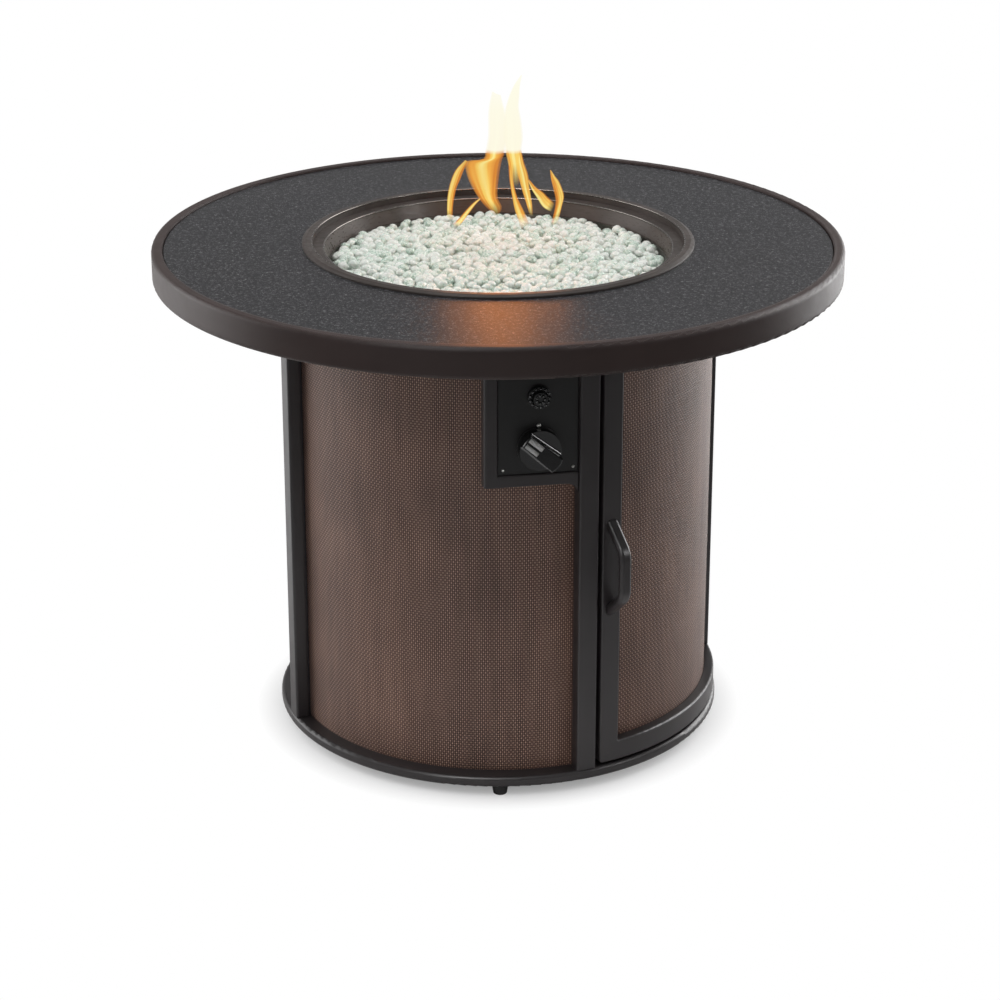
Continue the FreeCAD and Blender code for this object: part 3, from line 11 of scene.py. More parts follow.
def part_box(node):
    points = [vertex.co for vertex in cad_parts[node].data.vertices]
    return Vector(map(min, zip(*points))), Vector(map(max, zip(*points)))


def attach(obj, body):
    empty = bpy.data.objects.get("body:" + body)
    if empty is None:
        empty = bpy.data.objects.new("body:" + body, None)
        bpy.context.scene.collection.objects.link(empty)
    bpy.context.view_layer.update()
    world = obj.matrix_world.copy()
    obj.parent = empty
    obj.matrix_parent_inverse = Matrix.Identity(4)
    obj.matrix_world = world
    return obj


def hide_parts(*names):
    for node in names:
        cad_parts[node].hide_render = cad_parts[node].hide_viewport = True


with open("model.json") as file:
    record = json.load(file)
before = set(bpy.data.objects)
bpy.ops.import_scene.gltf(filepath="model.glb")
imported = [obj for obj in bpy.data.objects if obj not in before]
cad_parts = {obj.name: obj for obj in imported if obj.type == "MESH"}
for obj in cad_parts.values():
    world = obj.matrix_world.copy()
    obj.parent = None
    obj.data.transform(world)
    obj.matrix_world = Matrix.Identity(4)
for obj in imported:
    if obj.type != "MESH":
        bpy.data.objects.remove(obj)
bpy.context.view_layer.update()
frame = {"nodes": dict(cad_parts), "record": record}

# Photograph: the side of the image in pixels, the camera's distance from the table's axis,
# its height above the lip, its compass angle from -Y, its tilt, its focal length and centre
# in pixels, the sensor's width in millimetres, and the lip's level in metres
IMAGE = 1000
CAMERA_DISTANCE = 3.089
CAMERA_ABOVE_LIP = 0.899
CAMERA_COMPASS = math.radians(-10)
CAMERA_TILT = math.radians(20.46)
FOCAL_PIXELS = 2722
CENTRE_PIXEL = (498.2, 440)
SENSOR = 36
LIP_LEVEL = 0.597

# The woven mesh: its radius and the spacing of its threads
MESH_RADIUS = 0.25
THREAD_AROUND = 0.00245
THREAD_UP = 0.0029

# The collar: the inner radius of its flange and of its ledge, how far the ledge is below the
# crown, and the fine bead along both edges: its radius, how far its middle is outside the
# edge, in radii, and the steps of its mesh
STEP_RADIUS = 0.2195
LEDGE_RADIUS = 0.2055
LEDGE_DROP = 0.0085
BEAD_RADIUS = 0.001
BEAD_OUTWARD = 0.4
BEAD_AROUND = 240
BEAD_SECTION = 8

# The loose gems. One pebble: how many shapes there are, how uneven and how flat it is, its
# radius from smallest to largest, and the most that it reaches up, in radii
GEM_SHAPES = 10
GEM_UNEVEN = 0.13
GEM_FLAT = 0.74
GEM_SIZES = (0.005, 0.0078)
GEM_REACH = 0.95
# The heap: the margin inside the node's radius, how far a pebble's middle stays inside that,
# the rise at the middle, the jitter up and down in metres and sideways as a share of the
# spacing, and for each layer its level, its spacing and the share of places that it fills.
# Rows of a triangular grid are 0.866 of the spacing apart
GEM_MARGIN = 0.0005
GEM_INSET = 0.0065
GEM_HEAP = 0.0045
GEM_JITTER_UP = 0.0012
GEM_JITTER_SIDE = 0.22
GEM_LAYERS = ((0.004, 0.0116, 1.0), (0.0098, 0.0122, 0.8))
ROW_SPACING = 0.866

# The plate beside the door's hinge stile: its angles from the front, the radii of its faces
# and of its rounded corner, the steps of its outline and the height of the door's rails
PLATE_START = math.radians(88.6)
PLATE_END = math.radians(93.8)
PLATE_INNER = 0.2558
PLATE_OUTER = 0.2678
PLATE_ROUND = 0.002
PLATE_STEPS = 8
DOOR_RAIL = 0.025

# The knob: the turn of its grip, its skirt's height, and the grip's heights above the skirt
# at both ends and its half length
KNOB_TURN = math.radians(40)
KNOB_SKIRT = 0.006
GRIP_LOW = 0.007
GRIP_HIGH = 0.015
GRIP_HALF = 0.0245

# The knob's index bars: how far their middles are from the knob's, their height, how deep
# they are set in, their rounding, and for each its length, width and place across the grip
MARK_MIDDLE = -0.0118
MARK_HEIGHT = 0.0005
MARK_SUNK = 0.0001
MARK_EDGE = 0.0002
KNOB_MARKS = (("knob_mark_upper", 0.0185, 0.006, 0.0043),
              ("knob_mark_lower", 0.0172, 0.0048, -0.0038))

# Half balls on the controls: how deep each is set in, and the steps of its mesh
LOBE_SUNK = 0.0002
LOBE_ROWS = 6
LOBE_AROUND = 10
# The igniter's lobes: the piece, the node that carries it, the body, how many lobes there
# are, how far out they are as a share of the node's radius, and their own radius
KNURLS = (("igniter_knurl", "igniter_bezel", "table", 13, 0.83, 0.0021),
          ("igniter_cap", "igniter_button", "igniter", 7, 0.58, 0.0021))
# The heads on the plate: the lower two's inset from its edges and radius, and the upper
# one's radius and height above the knob's middle
HEAD_INSET = 0.0055
HEAD_SMALL = 0.0019
HEAD_LARGE = 0.0028
HEAD_ABOVE_KNOB = 0.0262


def linear(red, green, blue):
    """A colour given as 0 to 255 on screen, as linear light."""
    def one(value):
        value /= 255
        return value / 12.92 if value <= 0.04045 else ((value + 0.055) / 1.055) ** 2.4
    return one(red), one(green), one(blue)


class Shader:
    """A node material round one Principled surface."""

    def __init__(self, name, colour, roughness, metallic=0.0):
        self.material = bpy.data.materials.new(name)
        self.material.use_nodes = True
        self.tree = self.material.node_tree
        self.surface = self.tree.nodes["Principled BSDF"]
        self.output = self.tree.nodes["Material Output"]
        self.set("Base Color", (*colour, 1))
        self.set("Roughness", roughness)
        self.set("Metallic", metallic)

    def set(self, socket, value):
        """A constant on the surface's own socket."""
        self.surface.inputs[socket].default_value = value

    def node(self, kind, **settings):
        """A new node with its settings."""
        made = self.tree.nodes.new(kind)
        for key, value in settings.items():
            setattr(made, key, value)
        return made

    def link(self, source, target):
        self.tree.links.new(source, target)

    def math(self, operation, *values):
        """A math node on numbers and sockets."""
        made = self.node("ShaderNodeMath", operation=operation)
        for socket, value in zip(made.inputs, values):
            if isinstance(value, (int, float)):
                socket.default_value = value
            else:
                self.link(value, socket)
        return made.outputs[0]

    def place(self):
        """The point in the object's own frame, in metres."""
        return self.node("ShaderNodeTexCoord").outputs["Object"]

    def noise(self, scale, detail=2.0, roughness=0.5, stretch=None):
        """Noise in the object's frame, drawn out along the axes by stretch."""
        made = self.node("ShaderNodeTexNoise")
        made.inputs["Scale"].default_value = scale
        made.inputs["Detail"].default_value = detail
        made.inputs["Roughness"].default_value = roughness
        vector = self.place()
        if stretch is not None:
            mapping = self.node("ShaderNodeMapping")
            mapping.inputs["Scale"].default_value = stretch
            self.link(vector, mapping.inputs["Vector"])
            vector = mapping.outputs["Vector"]
        self.link(vector, made.inputs["Vector"])
        return made.outputs["Fac"]

    def ramp(self, factor, stops):
        """A ramp of (position, value or colour) stops."""
        made = self.node("ShaderNodeValToRGB")
        band = made.color_ramp
        while len(band.elements) < len(stops):
            band.elements.new(0.5)
        for element, (position, value) in zip(band.elements, stops):
            element.position = position
            colour = (value,) * 3 if isinstance(value, (int, float)) else value
            element.color = (*colour, 1)
        self.link(factor, made.inputs["Fac"])
        return made.outputs["Color"]

    def paint(self, factor, stops):
        """Colours the surface by a ramp."""
        self.link(self.ramp(factor, stops), self.surface.inputs["Base Color"])

    def gloss(self, factor, low, high):
        """Varies the roughness between two values."""
        self.link(self.ramp(factor, ((0.3, low), (0.7, high))), self.surface.inputs["Roughness"])

    def bump(self, height, strength, distance):
        """Fine relief from a height."""
        made = self.node("ShaderNodeBump")
        made.inputs["Strength"].default_value = strength
        made.inputs["Distance"].default_value = distance
        self.link(height, made.inputs["Height"])
        self.link(made.outputs["Normal"], self.surface.inputs["Normal"])
        return made

    def mix(self, factor, first, second):
        """Shows the first shader at factor 0 and the second at factor 1."""
        mixed = self.node("ShaderNodeMixShader")
        self.link(factor, mixed.inputs["Fac"])
        self.link(first, mixed.inputs[1])
        self.link(second, mixed.inputs[2])
        self.link(mixed.outputs["Shader"], self.output.inputs["Surface"])

    def soften(self, bump, radius):
        """Rounds sharp edges a little in how they catch the light."""
        made = self.node("ShaderNodeBevel", samples=4)
        made.inputs["Radius"].default_value = radius
        self.link(made.outputs["Normal"], bump.inputs["Normal"])


def shade(colour, factor):
    """A colour made lighter or darker."""
    return tuple(min(1.0, part * factor) for part in colour)


def powder_coat(name, colour, roughness, specular=0.45, rounding=0.0016):
    """Baked paint: a fine orange peel, a faint cloudiness and softened edges."""
    s = Shader(name, colour, roughness)
    s.set("Specular IOR Level", specular)
    s.paint(s.noise(14, 3), ((0.3, shade(colour, 0.9)), (0.7, shade(colour, 1.1))))
    s.gloss(s.noise(40, 2), roughness - 0.02, roughness + 0.03)
    s.soften(s.bump(s.noise(1100, 2), 0.12, 0.0002), rounding)
    return s.material


def top_face(name):
    """Charcoal sheet with a fine light and dark grain."""
    s = Shader(name, linear(42, 42, 45), 0.42)
    s.set("Specular IOR Level", 0.22)
    fine = s.noise(620, 4, 0.7)
    coarse = s.noise(190, 3, 0.6)
    grain = s.math("ADD", s.math("MULTIPLY", fine, 0.7), s.math("MULTIPLY", coarse, 0.3))
    s.paint(grain, (
        (0.36, linear(8, 8, 9)),
        (0.47, linear(26, 26, 29)),
        (0.53, linear(41, 41, 44)),
        (0.64, linear(121, 120, 122)),
    ))
    s.gloss(grain, 0.34, 0.48)
    s.bump(grain, 0.3, 0.0004)
    return s.material


def woven_mesh(name):
    """Plain weave of round threads on a cylinder: thread heights drive relief, gaps and colour,
    which is a painted highlight on the crowns and painted shade where threads dip.
    """
    s = Shader(name, linear(112, 90, 78), 0.46)
    s.set("Specular IOR Level", 0.36)
    s.set("Sheen Weight", 0.07)
    s.set("Sheen Roughness", 0.4)
    axes = s.node("ShaderNodeSeparateXYZ")
    s.link(s.place(), axes.inputs[0])
    turn = s.math("ARCTAN2", axes.outputs["Y"], axes.outputs["X"])
    around = s.math("COSINE", s.math("MULTIPLY", turn, MESH_RADIUS * math.pi / THREAD_AROUND))
    upward = s.math("COSINE", s.math("MULTIPLY", axes.outputs["Z"], math.pi / THREAD_UP))
    warp = s.math("ABSOLUTE", around)
    weft = s.math("ABSOLUTE", upward)
    over = s.math("MULTIPLY", around, upward)
    warp_height = s.math("MULTIPLY", warp, s.math("MULTIPLY_ADD", over, 0.5, 0.5))
    weft_height = s.math("MULTIPLY", weft, s.math("MULTIPLY_ADD", over, -0.5, 0.5))
    height = s.math("MAXIMUM", warp_height, weft_height)
    # Painted light: the tone rises with a thread's height, a painted highlight on the crowns and
    # painted shade where threads dip under each other; a faint random cloud is added.
    painted_thread_light = s.math("MULTIPLY_ADD", warp_height, 0.35, s.math("MULTIPLY", height, 0.65))
    cloud_and_thread_light = s.math("MULTIPLY_ADD", s.noise(9, 2), 0.3, s.math("SUBTRACT", painted_thread_light, 0.24))
    streaks = s.noise(90, 2, stretch=(1, 1, 0.12))
    tone = s.math("MULTIPLY_ADD", streaks, 0.18, cloud_and_thread_light)
    s.paint(tone, (
        (0.10, linear(25, 16, 13)),
        (0.38, linear(80, 57, 49)),
        (0.66, linear(127, 96, 82)),
        (0.95, linear(186, 152, 133)),
    ))
    s.bump(height, 0.7, 0.0007)
    gap = s.math("LESS_THAN", s.math("MAXIMUM", warp, weft), 0.34)
    clear = s.node("ShaderNodeBsdfTransparent").outputs["BSDF"]
    s.mix(gap, s.surface.outputs["BSDF"], clear)
    return s.material


def metal(name, colour, roughness, stretch=(1, 1, 1)):
    """Bare metal with fine drawing or machining marks."""
    s = Shader(name, colour, roughness, 1.0)
    marks = s.noise(420, 3, 0.6, stretch)
    s.paint(s.noise(30, 3), ((0.3, shade(colour, 0.88)), (0.7, shade(colour, 1.12))))
    s.gloss(marks, roughness - 0.07, roughness + 0.1)
    s.bump(marks, 0.1, 0.0002)
    return s.material


def plastic(name, colour, roughness, grain=900, relief=0.1, specular=0.5):
    """Moulded plastic with a fine grain, also for ceramic, rubber and printed marks."""
    s = Shader(name, colour, roughness)
    s.set("Specular IOR Level", specular)
    s.paint(s.noise(40, 2), ((0.3, shade(colour, 0.88)), (0.7, shade(colour, 1.12))))
    s.gloss(s.noise(90, 2), max(0.03, roughness - 0.05), roughness + 0.06)
    s.bump(s.noise(grain, 2), relief, 0.0002)
    return s.material


def collar_metal(name, colour, roughness):
    """Dark satin sheet that picks up soft reflections."""
    s = Shader(name, colour, roughness)
    s.set("Specular IOR Level", 0.14)
    s.paint(s.noise(22, 3), ((0.3, shade(colour, 0.85)), (0.7, shade(colour, 1.2))))
    s.gloss(s.noise(120, 2, stretch=(1, 1, 4)), roughness - 0.06, roughness + 0.08)
    s.bump(s.noise(900, 2), 0.06, 0.0002)
    return s.material


def clear_glass(name):
    """Tumbled clear glass, each pebble with its own faint tint."""
    s = Shader(name, linear(244, 249, 246), 0.05)
    s.set("Transmission Weight", 0.1)
    s.set("IOR", 1.45)
    s.set("Specular IOR Level", 0.8)
    island = s.node("ShaderNodeNewGeometry").outputs["Random Per Island"]
    veins = s.noise(430, 3, 0.65)
    s.paint(s.math("MULTIPLY_ADD", veins, 0.7, s.math("MULTIPLY", island, 0.3)), (
        (0.27, linear(166, 194, 178)),
        (0.4, linear(236, 250, 238)),
        (0.55, linear(255, 255, 250)),
        (0.72, linear(230, 246, 236)),
    ))
    s.bump(veins, 0.8, 0.002)
    return s.material


def gem_bed(name):
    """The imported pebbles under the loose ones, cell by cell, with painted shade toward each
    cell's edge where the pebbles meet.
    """
    s = Shader(name, linear(215, 224, 219), 0.2)
    cells = s.node("ShaderNodeTexVoronoi")
    cells.inputs["Scale"].default_value = 90
    s.link(s.place(), cells.inputs["Vector"])
    # Painted shade: each cell is lighter in its middle and darker toward its edge, where the
    # pebbles meet.
    s.paint(cells.outputs["Distance"], (
        (0.0, linear(245, 250, 247)),
        (0.45, linear(214, 224, 219)),
        (0.8, linear(128, 138, 133)),
    ))
    bump = s.bump(cells.outputs["Distance"], 0.9, 0.004)
    bump.invert = True
    return s.material


BRONZE = powder_coat("bronze_coat", linear(46, 42, 43), 0.34)
RIM = powder_coat("rim_coat", linear(56, 44, 42), 0.42, 0.25, 0.005)
BLACK = powder_coat("black_coat", linear(20, 19, 19), 0.36)
PRIMER = powder_coat("inner_steel", linear(40, 37, 36), 0.5)
TOP = top_face("top_face")
MESH = woven_mesh("woven_mesh")
COLLAR = collar_metal("collar_metal", linear(70, 64, 61), 0.4)
# The collar's throat takes a lighter copy of the collar's coat: painted light for the light and
# reflections that its inner wall catches.
THROAT = collar_metal("throat_metal_painted_light", linear(86, 79, 75), 0.3)
BEAD = metal("bead_steel", linear(128, 122, 118), 0.22, (1, 1, 6))
PAN = metal("pan_steel", linear(120, 116, 110), 0.4)
BURNER = metal("burner_steel", linear(170, 166, 160), 0.3, (1, 1, 8))
BRASS = metal("brass", linear(196, 160, 86), 0.28)
ALUMINIUM = metal("aluminium", linear(205, 205, 206), 0.3, (8, 1, 1))
ZINC = metal("zinc_screw", linear(176, 176, 172), 0.34)
GLOSS_BLACK = plastic("gloss_black", linear(14, 14, 15), 0.1, 300, 0.02, 0.9)
MATTE_BLACK = plastic("matte_black", linear(26, 26, 27), 0.42)
GLIDE = plastic("glide_plastic", linear(24, 23, 23), 0.5)
CERAMIC = plastic("white_ceramic", linear(236, 233, 226), 0.16, 400, 0.03)
LEAD = plastic("lead_rubber", linear(150, 46, 38), 0.45, 500, 0.08)
INDEX = plastic("index_grey", linear(176, 176, 174), 0.3, 500, 0.03)
GLASS = clear_glass("clear_glass")
BED = gem_bed("gem_bed")
SLOT_MATERIALS = {
    "bronze_coat": BRONZE,
    "top_face": TOP,
    "collar_metal": COLLAR,
    "pan_steel": PAN,
    "burner_steel": BURNER,
    "mesh_weave": MESH,
    "black_coat": BLACK,
    "frame_steel": PRIMER,
    "clear_glass": BED,
    "knob_gloss": GLOSS_BLACK,
    "black_plastic": MATTE_BLACK,
    "zinc_screw": ZINC,
    "brass": BRASS,
    "gas_pipe": ALUMINIUM,
    "white_ceramic": CERAMIC,
    "lead_rubber": LEAD,
    "glide": GLIDE,
}


def dress_nodes():
    """Gives every CAD node the material of its slot in the record; the rim and the collar's throat
    get their own coats, the throat's a lighter copy of the collar's as painted light.
    """
    slots = {row["node"]: row["material_slot"] for row in frame["record"]["subparts"]}
    special = {"collar_throat": THROAT, "top_rim": RIM}
    for name, thing in frame["nodes"].items():
        for slot in thing.material_slots:
            slot.material = special.get(name, SLOT_MATERIALS[slots[name]])


def add_object(name, data):
    """A new object in the scene."""
    thing = bpy.data.objects.new(name, data)
    bpy.context.scene.collection.objects.link(thing)
    return thing


def add_mesh(name, points, faces, material, smooth=True):
    """A new mesh object from points and faces."""
    data = bpy.data.meshes.new(name)
    data.from_pydata([tuple(point) for point in points], [], faces)
    data.materials.append(material)
    data.update()
    if smooth:
        data.shade_smooth()
    return add_object(name, data)


def from_bmesh(name, made, material):
    """A new mesh object from a bmesh, which is freed."""
    data = bpy.data.meshes.new(name)
    made.to_mesh(data)
    made.free()
    data.materials.append(material)
    return add_object(name, data)


def pebble_shape(generator):
    """Points and faces of one unit pebble, flattened and uneven."""
    made = bmesh.new()
    bmesh.ops.create_icosphere(made, subdivisions=2, radius=1)
    offset = Vector([generator.uniform(-50, 50) for _ in range(3)])
    for vert in made.verts:
        vert.co *= 1 + GEM_UNEVEN * noise.noise(vert.co * 1.1 + offset)
        vert.co.z *= GEM_FLAT
    points = np.array([vert.co for vert in made.verts])
    faces = [[vert.index for vert in face.verts] for face in made.faces]
    made.free()
    return points, faces


def gem_layer(generator, radius, pitch, keep):
    """Jittered places on a triangular grid inside a circle."""
    places = []
    rows = int(radius / (pitch * ROW_SPACING)) + 1
    side = GEM_JITTER_SIDE
    for row in range(-rows, rows + 1):
        for column in range(-rows - 1, rows + 2):
            x = (column + 0.5 * (row % 2)) * pitch + generator.uniform(-side, side) * pitch
            y = row * pitch * ROW_SPACING + generator.uniform(-side, side) * pitch
            if math.hypot(x, y) < radius and generator.random() < keep:
                places.append((x, y))
    return places


def tumble(generator):
    """A chance rotation: any turn, with a lean of up to 40 degrees."""
    turn = Matrix.Rotation(generator.uniform(0, 6.28), 3, "Z")
    lean = Matrix.Rotation(generator.uniform(-0.7, 0.7), 3, "X")
    roll = Matrix.Rotation(generator.uniform(0, 6.28), 3, "Z")
    return np.array(turn @ lean @ roll)


def make_gems():
    """Clear glass pebbles heaped in the bowl, none above the node that they stand for."""
    generator = random.Random(5)
    low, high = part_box("loose_gems")
    edge = high.x - GEM_MARGIN
    shapes = [pebble_shape(generator) for _ in range(GEM_SHAPES)]
    points, faces = [], []
    for level, pitch, keep in GEM_LAYERS:
        for x, y in gem_layer(generator, edge - GEM_INSET, pitch, keep):
            reach = math.hypot(x, y) / edge
            size = generator.uniform(*GEM_SIZES)
            rise = GEM_HEAP * (1 - reach * reach)
            z = low.z + level + rise + generator.uniform(-GEM_JITTER_UP, GEM_JITTER_UP)
            z = min(z, high.z - size * GEM_REACH)
            shape, shape_faces = shapes[generator.randrange(len(shapes))]
            matrix = tumble(generator) * size
            start = len(points)
            points.extend(shape @ matrix.T + np.array((x, y, z)))
            faces.extend([[start + index for index in face] for face in shape_faces])
    gems = add_mesh("glass_pebbles", points, faces, GLASS)
    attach(gems, "table")
    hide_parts("loose_gems")


def rounded_bar(name, length, width, height, edge, material):
    """A bar with rounded edges, along X, its underside at the origin."""
    made = bmesh.new()
    bmesh.ops.create_cube(made, size=1)
    for vert in made.verts:
        vert.co.x *= length
        vert.co.y *= width
        vert.co.z = (vert.co.z + 0.5) * height
    bmesh.ops.bevel(made, geom=list(made.edges), offset=edge, segments=2, affect="EDGES")
    bar = from_bmesh(name, made, material)
    bar.data.shade_smooth()
    return bar


def bake_place(thing, matrix):
    """Puts a placement into the mesh, so that the object stays at the origin."""
    thing.data.transform(matrix)
    thing.data.update()


def make_knob_marks():
    """Two grey index bars on the low end of the knob's sloping grip."""
    low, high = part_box("control_knob")
    centre = (low + high) / 2
    fall = (GRIP_HIGH - GRIP_LOW) / (2 * GRIP_HALF)
    rise = KNOB_SKIRT + GRIP_LOW + (GRIP_HALF + MARK_MIDDLE) * fall
    turn = Matrix.Rotation(KNOB_TURN, 4, "Y")
    lean = Matrix.Rotation(-math.atan(fall), 4, "Z")
    upright = Matrix.Rotation(math.pi / 2, 4, "X")
    place = Matrix.Translation((centre.x, high.y, centre.z))
    for name, length, width, side in KNOB_MARKS:
        bar = rounded_bar(name, length, width, MARK_HEIGHT, MARK_EDGE, INDEX)
        spot = Matrix.Translation((MARK_MIDDLE, MARK_SUNK - rise, side))
        bake_place(bar, place @ turn @ spot @ lean @ upright)
        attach(bar, "knob")


def ring_shape(reach, level):
    """Points and faces of a thin ring whose top is at a level."""
    points, faces = [], []
    for step in range(BEAD_AROUND):
        turn = 2 * math.pi * step / BEAD_AROUND
        first = step * BEAD_SECTION
        second = (step + 1) % BEAD_AROUND * BEAD_SECTION
        for part in range(BEAD_SECTION):
            lift = 2 * math.pi * part / BEAD_SECTION
            out = reach + BEAD_RADIUS * (BEAD_OUTWARD + math.cos(lift))
            points.append((out * math.cos(turn), out * math.sin(turn),
                           level - BEAD_RADIUS * (1 - math.sin(lift))))
            after = (part + 1) % BEAD_SECTION
            faces.append([first + part, second + part, second + after, first + after])
    return points, faces


def make_collar_beads():
    """Fine rolled edges on the collar: round the flange's hole and round the ledge's."""
    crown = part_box("burner_collar")[1].z
    for name, reach, level in (("collar_bead_upper", STEP_RADIUS, crown),
                               ("collar_bead_lower", LEDGE_RADIUS, crown - LEDGE_DROP)):
        bead = add_mesh(name, *ring_shape(reach, level), BEAD)
        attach(bead, "table")


def plate_outline():
    """The plate's section as (angle, radius): rounded at its outer corner beside the mesh."""
    outline = [(PLATE_START, PLATE_INNER)]
    for step in range(PLATE_STEPS, -1, -1):
        turn = math.pi / 2 * step / PLATE_STEPS
        outline.append((PLATE_START + PLATE_ROUND * (1 - math.sin(turn)) / PLATE_OUTER,
                        PLATE_OUTER - PLATE_ROUND * (1 - math.cos(turn))))
    angles = [PLATE_START + (PLATE_END - PLATE_START) * step / PLATE_STEPS
              for step in range(1, PLATE_STEPS + 1)]
    outline.extend((angle, PLATE_OUTER) for angle in angles)
    outline.extend((angle, PLATE_INNER) for angle in reversed(angles))
    return outline


def make_edge_plate():
    """Plate over the end of the door's mesh, beside the stile at the hinge."""
    low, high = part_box("door_frame")
    outline = plate_outline()
    count = len(outline)
    points = [(reach * math.sin(turn), -reach * math.cos(turn), level)
              for level in (low.z + DOOR_RAIL, high.z - DOOR_RAIL) for turn, reach in outline]
    faces = [[index, (index + 1) % count, (index + 1) % count + count, index + count]
             for index in range(count)]
    faces.append(list(range(count))[::-1])
    faces.append([index + count for index in range(count)])
    plate = add_mesh("door_edge_plate", points, faces, BRONZE, smooth=False)
    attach(plate, "door")


def lobe_shape(radius):
    """Points and faces of a half ball that bulges along -Y."""
    points, faces = [(0, -radius, 0)], []
    for row in range(1, LOBE_ROWS + 1):
        lift = math.pi / 2 * row / LOBE_ROWS
        reach = radius * math.sin(lift)
        for step in range(LOBE_AROUND):
            turn = 2 * math.pi * step / LOBE_AROUND
            points.append((reach * math.cos(turn), -radius * math.cos(lift),
                           reach * math.sin(turn)))
    for step in range(LOBE_AROUND):
        after = (step + 1) % LOBE_AROUND
        faces.append([0, 1 + step, 1 + after])
        for row in range(LOBE_ROWS - 1):
            first = 1 + row * LOBE_AROUND
            second = first + LOBE_AROUND
            faces.append([first + step, second + step, second + after, first + after])
    return points, faces


def add_lobes(name, places, material, body):
    """One piece made of half balls, each given by its centre and radius."""
    points, faces = [], []
    for x, y, z, radius in places:
        shape, shape_faces = lobe_shape(radius)
        start = len(points)
        points.extend((x + dx, y + dy, z + dz) for dx, dy, dz in shape)
        faces.extend([start + index for index in face] for face in shape_faces)
    piece = add_mesh(name, points, faces, material)
    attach(piece, body)


def make_knurl():
    """Round lobes on the igniter's ring and on its button."""
    for name, node, body, count, share, radius in KNURLS:
        low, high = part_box(node)
        centre = (low + high) / 2
        reach = (high.x - low.x) / 2 * share
        places = []
        for step in range(count):
            turn = 2 * math.pi * step / count
            places.append((centre.x + reach * math.cos(turn), low.y + LOBE_SUNK,
                           centre.z + reach * math.sin(turn), radius))
        add_lobes(name, places, GLOSS_BLACK, body)


def make_plate_screws():
    """Small round heads at the plate's lower corners and on the screw above the knob."""
    low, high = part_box("control_plate")
    places = [(x, low.y + LOBE_SUNK, low.z + HEAD_INSET, HEAD_SMALL)
              for x in (low.x + HEAD_INSET, high.x - HEAD_INSET)]
    knob_low, knob_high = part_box("control_knob")
    above = (knob_low.z + knob_high.z) / 2 + HEAD_ABOVE_KNOB
    places.append((0, low.y + LOBE_SUNK, above, HEAD_LARGE))
    add_lobes("plate_screws", places, ZINC, "table")


# Flames: matching places, in pixels, on each tongue's left and right edge from foot to tip,
# the tongue with the highest tip, the pixel row of the far rim, where they turn pale, the
# steps of a sheet along and across, and how far it bulges, as a share of its width. Each
# tongue's part of the UV map is a little under 1 wide. The last two say how much stronger
# the flames are, beyond 1, as a light on diffuse surfaces and in reflections
FLAMES = (
    (((495, 216), (484, 205), (476, 194), (469, 181), (465.5, 169), (466, 161), (483, 159),
      (485.5, 150), (488, 135), (488, 115), (489.5, 102), (492, 91)),
     ((499, 215), (502, 207), (497.5, 197), (498.5, 181), (500, 170), (502, 160), (504, 155),
      (505, 150), (508, 135), (506, 115), (503, 103), (501, 95))),
    (((489, 209), (486, 197), (486.5, 185), (487, 172), (488, 160), (489, 150)),
     ((494, 211), (494, 198), (495.5, 185), (497, 172), (499.5, 160), (502, 150))),
    (((511, 186), (509, 168), (505, 150), (503, 135), (503.5, 120), (505, 109), (509, 96),
      (514, 85), (521, 75)),
     ((519, 186), (521, 168), (521.5, 150), (523, 137), (521.5, 121), (519, 107), (519.5, 97),
      (520, 86), (522, 75))),
    (((447, 219), (447, 207), (447.5, 196), (450, 183), (455.5, 170), (465, 160)),
     ((453, 220), (453, 207), (456, 190), (460.5, 179), (464, 170), (468, 161))),
    (((452, 225), (459, 218), (466, 210), (473, 203), (481, 197)),
     ((459, 227), (465, 219), (470, 212), (476, 204), (482, 198))),
    (((521, 228), (515, 211), (512, 196), (509.5, 181), (508.5, 167), (508.5, 150)),
     ((530, 225), (524, 211), (517, 196), (513.5, 181), (513, 167), (515, 150))),
    (((530, 216), (526, 203), (521, 187), (517, 172), (515.5, 160), (515, 150)),
     ((533, 216), (532, 203), (529.5, 187), (528, 174), (524, 162), (521.5, 150))),
    (((551, 212), (543, 207), (537, 198), (532, 190), (528, 181)),
     ((555, 203), (548, 197), (543, 192), (536, 187), (529, 179))),
    (((550, 226), (554, 212), (555.5, 200), (553, 188), (551, 179), (550, 170)),
     ((558, 223), (562, 206), (564, 195), (559.5, 182), (555, 176), (551, 170))),
)
TALLEST = 2
HORIZON_PIXEL = 151
FLAME_ROWS = 30
FLAME_COLUMNS = 6
FLAME_BULGE = 0.35
FLAME_MAP = 0.999
FLAME_LIGHT = 2
FLAME_SHINE = 9


def photo_ray(pixel_x, pixel_y):
    """The camera's place, the direction through a pixel, and the camera's level heading."""
    heading = Vector((-math.sin(CAMERA_COMPASS), math.cos(CAMERA_COMPASS), 0))
    side = Vector((heading.y, -heading.x, 0))
    place = Vector((0, 0, LIP_LEVEL + CAMERA_ABOVE_LIP)) - heading * CAMERA_DISTANCE
    forward = heading * math.cos(CAMERA_TILT) - Vector((0, 0, 1)) * math.sin(CAMERA_TILT)
    upward = heading * math.sin(CAMERA_TILT) + Vector((0, 0, 1)) * math.cos(CAMERA_TILT)
    ray = (forward + side * ((pixel_x - CENTRE_PIXEL[0]) / FOCAL_PIXELS)
           - upward * ((pixel_y - CENTRE_PIXEL[1]) / FOCAL_PIXELS))
    return place, ray, heading


def flame_point(pixel_x, pixel_y):
    """Where a pixel's ray meets the upright plane across the bowl's middle."""
    place, ray, heading = photo_ray(pixel_x, pixel_y)
    return place + ray * (-place.dot(heading) / ray.dot(heading))


